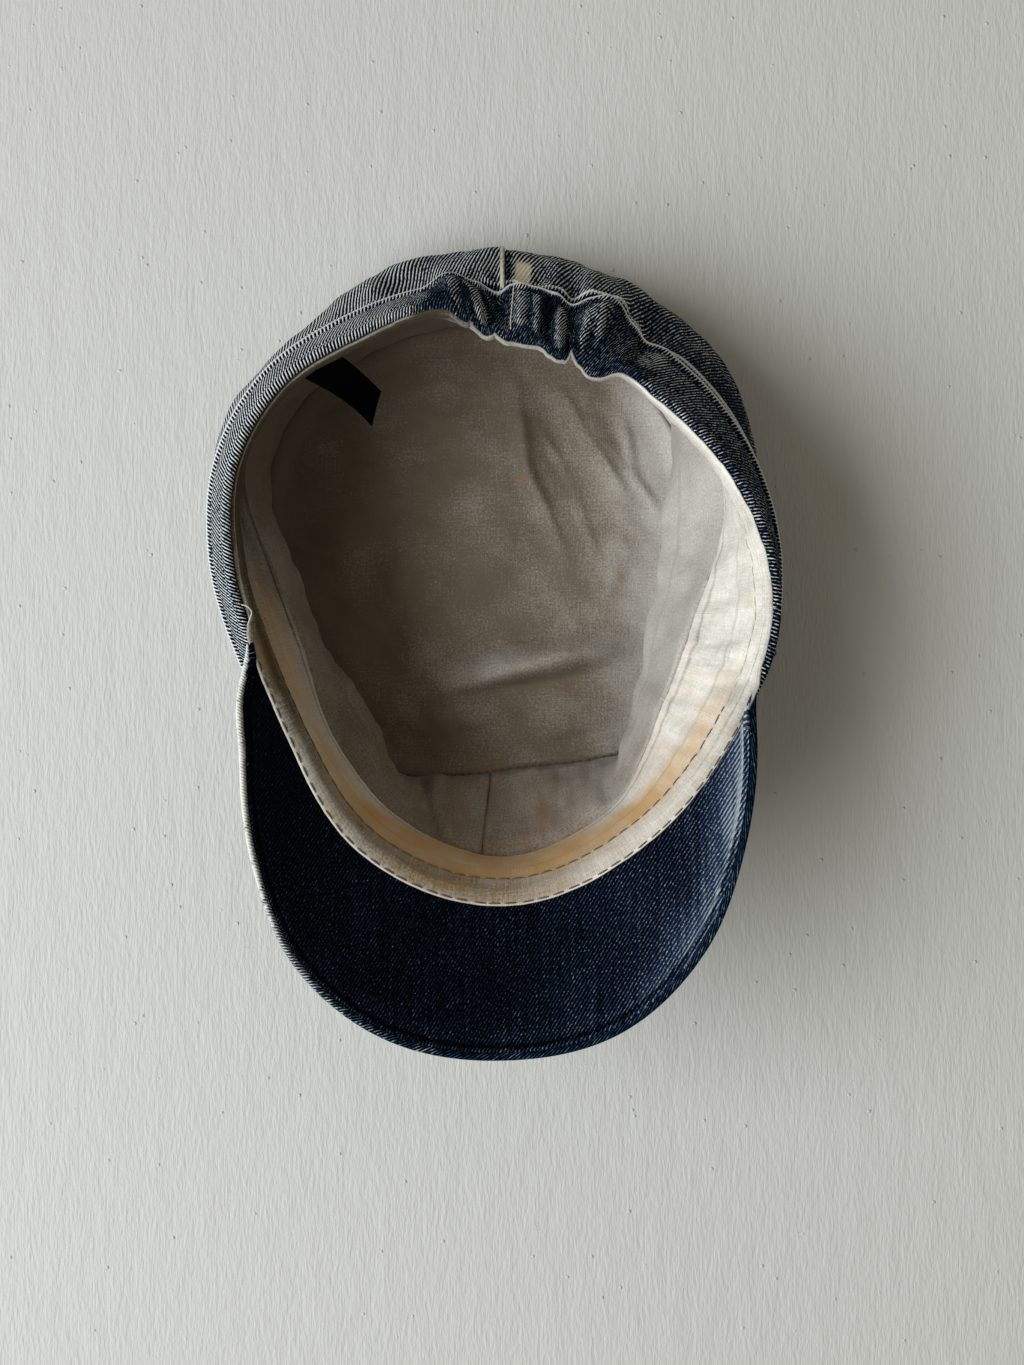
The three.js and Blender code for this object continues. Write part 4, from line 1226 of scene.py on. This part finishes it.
class CAP_OT_peak(bpy.types.Operator):
    """Builds the peak: its under face, and the upper cloth rolled round its edge"""
    bl_idname = "cap.peak"
    bl_label = "Peak"

    def execute(self, context):
        b = np.linspace(PEAK_FROM, PEAK_TO, 260)[:, None]
        share = rows((0, 0.8, 34), (0.8, 1, 26))
        sheet = peak_under_sheet(b, share)
        from_edge = (1 - share) * (along(PEAK, "reach", b) - roll_width(b) - rim_radius(b))
        right = smooth(b, 275, 320)
        low = hump(b - 272, 52)
        cloudy = ripple(72, 11, sheet[..., 0], 0.25 * sheet[..., 1])
        wear = (0.25 * bell(from_edge, 0, 1.2) + 0.75 * right * bell(from_edge, 3.0, 0.6)
                + bell(from_edge, 4.0, 3.5) * (0.26 * right + 0.13 * low)
                + 0.2 * right * bell(from_edge, 6, 8)) * (0.95 + 0.3 * cloudy)
        # Painted shade: darker in a line by the edge, where the roll meets the face.
        fade = (0.3 + 0.36 * smooth(sheet[..., 0], -30, 85) - 0.2 * (1 - smooth(b, 205, 245))
                + 0.1 * right * bell(from_edge, 4, 9) - 0.3 * bell(from_edge, 1.6, 0.8))
        flat = np.stack([sheet[..., 0], -sheet[..., 1]], -1)
        thick_cloth("denim_peak_under", sheet, PLATE, finish("dark indigo denim"),
                    {"wear": wear, "fade": fade, "tint": 0.1}, ["peak_under"], cloth=flat)
        self.upper()
        return {"FINISHED"}

    def upper(self):
        """Lower plate, then the roll: a smooth curve through the corners of its section."""
        b = np.linspace(PEAK_FROM, PEAK_TO, 420)[:, None]
        under = PLATE + GAP
        corners = [(0.1, under), (0.1, 0.5), (0.4, -0.4), (0.8, -0.1), (1.0, 1.2), (0.9, under),
                   (0.6, under + PLATE - 0.3), (0.0, under + PLATE)]
        roll_rows, plate_rows = 36, 16
        roll = spline([np.array([c]) for c in corners], np.linspace(0, 1, roll_rows))
        plate = rows((0, 1, plate_rows))[:-1]
        share = np.concatenate([plate, np.ones(roll_rows), plate[::-1]])
        step = np.concatenate([0 * plate, roll[:, 0], 0 * plate])
        depth = np.concatenate([under + 0 * plate, roll[:, 1], under + PLATE + 0 * plate])
        grid = peak_point(b, share, step * roll_width(b), depth)
        k = len(share)
        ahead = length_run(grid[None, :, k // 2]).T
        rolled = (step > 0.05)
        grid[..., 2] += rolled * 0.12 * ripple(73, 5, ahead, 0 * ahead)
        away = np.arange(k // 2)
        left = 1 - smooth(b, 215, 262)
        right = smooth(b, 290, 325)
        crest = bell(np.arange(k), plate_rows + 14, 9.0)
        wear = (1.1 + 0.35 * ripple(74, 0.9, ahead, 0 * ahead)) * crest * left
        marks = {"wear": wear, "fade": 0.34 + 0.36 * left - 0.08 * right, "tint": 0.25 * left}
        skin("denim_peak_top", grid, cloth_map(grid, False), marks,
             finish("washed denim on the bias"), ["peak_top"],
             ends=(k // 2 - 1 - away, k // 2 + away))


class CAP_OT_sweatband(bpy.types.Operator):
    """Builds the cotton sweatband and the tape sewn over its seam at the rim"""
    bl_idname = "cap.sweatband"
    bl_label = "Sweatband"

    def execute(self, context):
        b = bearings(0, 360)[:, None]
        reach = rows((SWEATBAND_TOP, 10, 12), (10, SWEATBAND_WIDTH, 20))
        sheet = sweatband_sheet(b, reach)
        front = 0.6 * smooth(b, 160, 195) + 0.4 * smooth(b, 210, 245)
        front = front * (1 - smooth(b, 306, 358))
        x, y = level(b, SWEATBAND_MEAN)
        patchy = 0.95 + 0.2 * ripple(81, 16, x, y, 0.8 * reach) + 0.08 * ripple(82, 5, x, y, reach)
        low = 1 - smooth(b, 285, 330)
        far = 14 * hump(b - 266, 42)
        stain = front * patchy * (0.2 + 0.65 * (1 - smooth(reach, 11 + 6 * low + far,
                                                           19 + 12 * low + far)))
        # Painted shade: the inside of the back left, which lies in shadow, is darkened.
        way = np.mod(b, 360)
        back = np.interp(way, (50, 88, 104, 148, 162, 185, 200, 230),
                         (0, 0, 0.92, 0.92, 0.74, 0.46, 0.24, 0))
        # At the right the cloth is only tinged, in soft blotches in its creases, with painted shade
        # beside them.
        right = hump(turn_between(b, 350), 60)
        blotchy = blotches(b, reach)
        stain = stain + 0.15 * right * np.clip(blotchy - 0.1, 0, 1.3)
        grime = (0.04 + back + 0.16 * front * low + 0.2 * right * np.clip(0.8 - blotchy, 0, 1)
                 + 0.35 * bell(reach, SWEATBAND_WIDTH - 3.5, 0.3))
        thick_cloth("cotton_sweatband", sheet, COTTON, finish("cream cotton"),
                    {"stain": stain, "grime": grime}, ["sweatband"], closed=True)
        reach = rows((TAPE_TOP, 2, 14), (2, TAPE_WIDTH, 20))
        sheet = tape_sheet(b, reach)
        blotchy = blotches(b, reach)
        line = bell(reach, TAPE_ROW, 0.3) * (0.2 + front)
        # Painted shade: the tape at the back left, which lies in shadow, is darkened.
        back = np.interp(way, (50, 62, 94, 104, 168, 180, 200, 230),
                         (0, 0.3, 0.4, 0.95, 0.92, 0.55, 0.4, 0))
        # Painted highlight on the lip away from the gathers and the right; painted shade in patches
        # at right.
        grime = (0.04 + back + front * (0.2 + 0.52 * (1 - smooth(b, 262, 302))) + 0.3 * line
                 + 0.3 * right * bell(reach, 1.9, 0.3) + 0.18 * right * np.clip(0.8 - blotchy, 0, 1)
                 + bell(reach, TAPE_TOP, 1.0) * (0.12 - 0.5 * (1 - gathered(b)) * (1 - right)))
        stain = 0.4 * front * (0.5 + smooth(reach, 3, 7))
        thick_cloth("cotton_tape", sheet, TAPE, finish("cream cotton"),
                    {"stain": stain, "grime": grime}, ["seam_tape"], closed=True)
        return {"FINISHED"}


class CAP_OT_lining(bpy.types.Operator):
    """Builds the slack cotton lining: its flat top and the two halves of its side"""
    bl_idname = "cap.lining"
    bl_label = "Lining"

    def execute(self, context):
        t = rows((0, 0.2, 16), (0.2, 1, 44))
        sides = (("lining_side_left", CENTRE_BACK, LINING_FRONT),
                 ("lining_side_right", LINING_FRONT, CENTRE_BACK + 360))
        for name, first, last in sides:
            b = bearings(first + 0.05, last - 0.05)[:, None]
            sheet = lining_sheet(b, t)
            front = hump(turn_between(b, 268), 70)
            # Painted shade: darkest at the back left, which lies in shadow, and least at the lit
            # right.
            grime = np.interp(np.mod(b, 360), (0, 60, 88, 104, 148, 164, 225, 270, 320, 360),
                              (0.1, 0.25, 0.7, 0.95, 0.95, 0.66, 0.78, 0.66, 0.36, 0.1))
            grime = grime + 0.7 * bell(t, 1, 0.012)
            grime = grime + 0.6 * bell(turn_between(b, LINING_FRONT), 0, 0.45)
            stain = 0.3 * front * (0.6 + 0.4 * ripple(91, 16, *np.moveaxis(sheet, -1, 0)))
            spot = np.hypot(sheet[..., 0] - 13, 0.5 * (sheet[..., 1] + 71))
            stain = stain + 0.5 * bell(spot, 0, 2.5)
            thick_cloth(f"cotton_{name}", sheet, COTTON, finish("lining cotton"),
                        {"stain": stain, "grime": grime}, [name])
        b = np.arange(0, 360, 1.25)[:, None]
        sheet = lining_top_sheet(b, rows((0, 0.9, 66), (0.9, 1, 10)))
        x, y = sheet[..., 0], sheet[..., 1]
        stain = 0.25 * bell(np.hypot(x + 7, y + 61), 0, 16)
        seam = around(INSIDE, "seam", b) - np.hypot(x, y) - COTTON
        for spot_x, spot_y, size, strong in SPOTS:
            stain = stain + strong * bell(np.hypot(x - spot_x, y - spot_y), 0, size)
        # Painted highlight on the long fold near the front, painted shade in the valley beside it.
        painted_fold_highlight = bell(y, -18 + 0.22 * x, 8) * hump(x, 54)
        painted_valley_shade = bell(y, -25.5 + 0.2 * x, 2.5) * hump(x - 5, 44)
        # Painted shade darkens the top, less and less towards the right, which the window lights.
        grime = (0.83 + 0.08 * ripple(92, 30, x, y) - 0.0018 * x - 0.8 * smooth(x, 22, 80)
                 - 0.3 * painted_fold_highlight + 0.25 * painted_valley_shade + 0.8 * bell(seam, 0, 0.9))
        round_cloth("cotton_lining_top", sheet, COTTON, finish("lining cotton"),
                    {"stain": stain, "grime": grime}, ["lining_top"])
        return {"FINISHED"}


class CAP_OT_label(bpy.types.Operator):
    """Builds the bare black ribbon label that hangs from the sweatband"""
    bl_idname = "cap.label"
    bl_label = "Label"

    def execute(self, context):
        u = np.linspace(0, 1, 13)[:, None, None]
        t = np.linspace(0, 1, 41)[None, :, None]
        first, last = (edge[0] + (edge[1] - edge[0]) * t for edge in LABEL_EDGES)
        arch = np.sin(np.pi * t)
        first = first + arch * np.array([2.6, -0.4, 0])
        sheet = first + (last - first) * u + arch * np.array([0, 0, LABEL_BOW])
        sheet = sheet + np.array([0, 0, 0.8]) * np.sin(2 * np.pi * (u + 0.7 * t)) * t
        thick_cloth("satin_label", sheet, LABEL_THICK, finish("black satin ribbon"),
                    {}, ["label"], back=sheet - np.array([0, 0, LABEL_THICK]))
        return {"FINISHED"}


class CAP_OT_stitching(bpy.types.Operator):
    """Sews the visible rows of stitches"""
    bl_idname = "cap.stitching"
    bl_label = "Stitching"

    def execute(self, context):
        s = context.scene.cap_sizes
        pitch, length, width = s.stitch_pitch / MM, s.stitch_length / MM, s.thread_width / MM
        # The thread is olive along the front, and as pale as the tape at the right.
        olive, pale = finish("olive cotton thread"), finish("cream cotton thread")
        front = np.arange(192, 336, 0.5)
        for name, turn, row, spaced, yarn, seed in (
                ("tape_stitches_front", front, TAPE_ROW, 1, olive, 2),
                ("tape_stitches_right", np.arange(336, 410, 0.5), TAPE_ROW, 1, pale, 2),
                ("tape_edge_stitches", front, TAPE_EDGE_ROW, 1.1, olive, 3)):
            path, up = on_face(tape_sheet, turn, row, -TAPE, 0.05)
            stitches(name, path, up, pitch * spaced, length, width, yarn, seed)
        path, up = on_face(lining_top_sheet, np.arange(228, 325, 0.5), 0.992, 0.01, 0.004)
        stitches("lining_stitches", path, up, pitch * 0.6, length * 0.35, width * 0.8, olive,
                 6)
        t = np.linspace(0.04, 0.95, 60)
        path, up = on_face(band_sheet, 88.9 - 0.5 * t, t, 0.02, 0.004)
        stitches("band_back_stitches", path, up, pitch * 0.42, length * 0.45, width, pale,
                 8)
        return {"FINISHED"}


class CAP_OT_loose_threads(bpy.types.Operator):
    """Adds the frayed thread ends that stand off the seams"""
    bl_idname = "cap.loose_threads"
    bl_label = "Loose Threads"

    def execute(self, context):
        for number, (slot, points) in enumerate(LOOSE_THREADS, 1):
            points = [np.array([p], float) for p in points]
            path = spline(points, np.linspace(0, 1, LOOSE_POINTS))[None]
            girth = np.full(LOOSE_POINTS, LOOSE_GIRTH)
            girth[[0, -1]] = 0
            dye = "cream" if slot == "cream_cotton" else "navy"
            tubes(f"loose_thread_{number}", path, np.array([0.3, 0.2, 0.93]) + 0 * path, girth,
                  finish(f"{dye} cotton thread"))
        return {"FINISHED"}


class CAP_OT_stage(bpy.types.Operator):
    """Adds the painted floor, the soft window light and the camera"""
    bl_idname = "cap.stage"
    bl_label = "Stage"

    def execute(self, context):
        mesh = bpy.data.meshes.new("floor")
        corners = [(x * FLOOR_REACH, y * FLOOR_REACH, FLOOR)
                   for x, y in ((-1, -1), (1, -1), (1, 1), (-1, 1))]
        mesh.from_pydata(corners, [], [(0, 1, 2, 3)])
        mesh.materials.append(finish("brushed eggshell paint"))
        floor = bpy.data.objects.new("floor", mesh)
        context.scene.collection.objects.link(floor)
        light = bpy.data.lights.new("window", "AREA")
        light.energy = WINDOW_POWER
        light.color = (0.95, 0.98, 1.0)
        light.shape = "RECTANGLE"
        light.size, light.size_y = WINDOW_SIZE
        lamp = bpy.data.objects.new("window", light)
        lamp.location = WINDOW_PLACE
        lamp.rotation_euler = (-Vector(WINDOW_PLACE)).to_track_quat("-Z", "Y").to_euler()
        context.scene.collection.objects.link(lamp)
        world = bpy.data.worlds.new("soft_room")
        world.use_nodes = True
        background = world.node_tree.nodes["Background"]
        background.inputs["Color"].default_value = linear("#f5ead5")
        background.inputs["Strength"].default_value = ROOM_LIGHT
        context.scene.world = world
        context.scene.view_settings.view_transform = "Standard"
        lens = bpy.data.cameras.new("photo_camera")
        lens.sensor_fit = "VERTICAL"
        lens.sensor_height = SENSOR_MM
        lens.lens = FOCAL_PIXELS * SENSOR_MM / IMAGE_HEIGHT
        lens.clip_start = 0.01
        camera = bpy.data.objects.new("photo_camera", lens)
        camera.location = [c * MM for c in CAMERA_PLACE]
        context.scene.collection.objects.link(camera)
        context.scene.camera = camera
        return {"FINISHED"}


STEPS = ("crown", "band", "peak", "sweatband", "lining", "label", "stitching", "loose_threads",
         "stage")


def length_property(name, description, default, least, most):
    """A length in metres."""
    return FloatProperty(name=name, description=description, default=default, min=least, max=most,
                         subtype="DISTANCE", unit="LENGTH")


def colour_property(name, description, colour):
    """A colour whose default is an sRGB hex value."""
    return FloatVectorProperty(name=name, description=description, default=linear(colour), size=4,
                               min=0, max=1, subtype="COLOR")


class CapSizes(bpy.types.PropertyGroup):
    """Sizes of the sewing"""
    stitch_pitch: length_property(
        "Stitch pitch", "From one stitch to the next", 0.0048, 0.001, 0.01)
    stitch_length: length_property(
        "Stitch length", "Length of thread that shows in a stitch", 0.0041, 0.0005, 0.01)
    thread_width: length_property(
        "Thread width", "Thickness of the sewing thread", 0.0005, 0.0002, 0.002)


class CapColours(bpy.types.PropertyGroup):
    """Colours of the cloths, the thread and the floor"""
    indigo_dark: colour_property(
        "Dark indigo", "Ground between the ribs of the outer denim", "#03070e")
    indigo_mid: colour_property(
        "Mid indigo", "Half-washed warp of the outer denim", "#1f4363")
    indigo_pale: colour_property(
        "Worn white", "Cotton core that shows where denim is worn", "#e0e6e8")
    peak_dark: colour_property(
        "Peak indigo", "Ground of the unfaded denim under the peak", "#010205")
    peak_mid: colour_property("Peak mid indigo", "Warp of the denim under the peak", "#263858")
    cream: colour_property("Cream cotton", "Sweatband and tape", "#f1eee6")
    stain: colour_property("Tan stain", "Skin stains on the sweatband", "#c9a36e")
    lining: colour_property("Lining cotton", "Grey-brown lining", "#c6c3bd")
    label: colour_property("Label", "Bare satin label", "#020203")
    thread: colour_property("Thread", "Sewing thread of the tape and lining", "#4c4436")
    floor: colour_property("Floor paint", "Pale painted floor", "#c4c5c2")


class CAP_PT_panel(bpy.types.Panel):
    """Lists the cap's sizes and colours and the steps that build it"""
    bl_idname = "CAP_PT_panel"
    bl_label = "Cap"
    bl_space_type = "VIEW_3D"
    bl_region_type = "UI"
    bl_category = "Cap"

    def draw(self, context):
        layout = self.layout
        for group in (context.scene.cap_sizes, context.scene.cap_colours):
            for name in group.__annotations__:
                layout.prop(group, name)
        for step in STEPS:
            layout.operator(f"cap.{step}")


CLASSES = (CapSizes, CapColours, CAP_OT_crown, CAP_OT_band, CAP_OT_peak, CAP_OT_sweatband,
           CAP_OT_lining, CAP_OT_label, CAP_OT_stitching, CAP_OT_loose_threads, CAP_OT_stage,
           CAP_PT_panel)


def register():
    for cls in CLASSES:
        bpy.utils.register_class(cls)
    bpy.types.Scene.cap_sizes = PointerProperty(type=CapSizes)
    bpy.types.Scene.cap_colours = PointerProperty(type=CapColours)


def unregister():
    del bpy.types.Scene.cap_colours
    del bpy.types.Scene.cap_sizes
    for cls in reversed(CLASSES):
        bpy.utils.unregister_class(cls)


def main():
    register()
    for step in STEPS:
        getattr(bpy.ops.cap, step)()


if __name__ == "__main__":
    main()
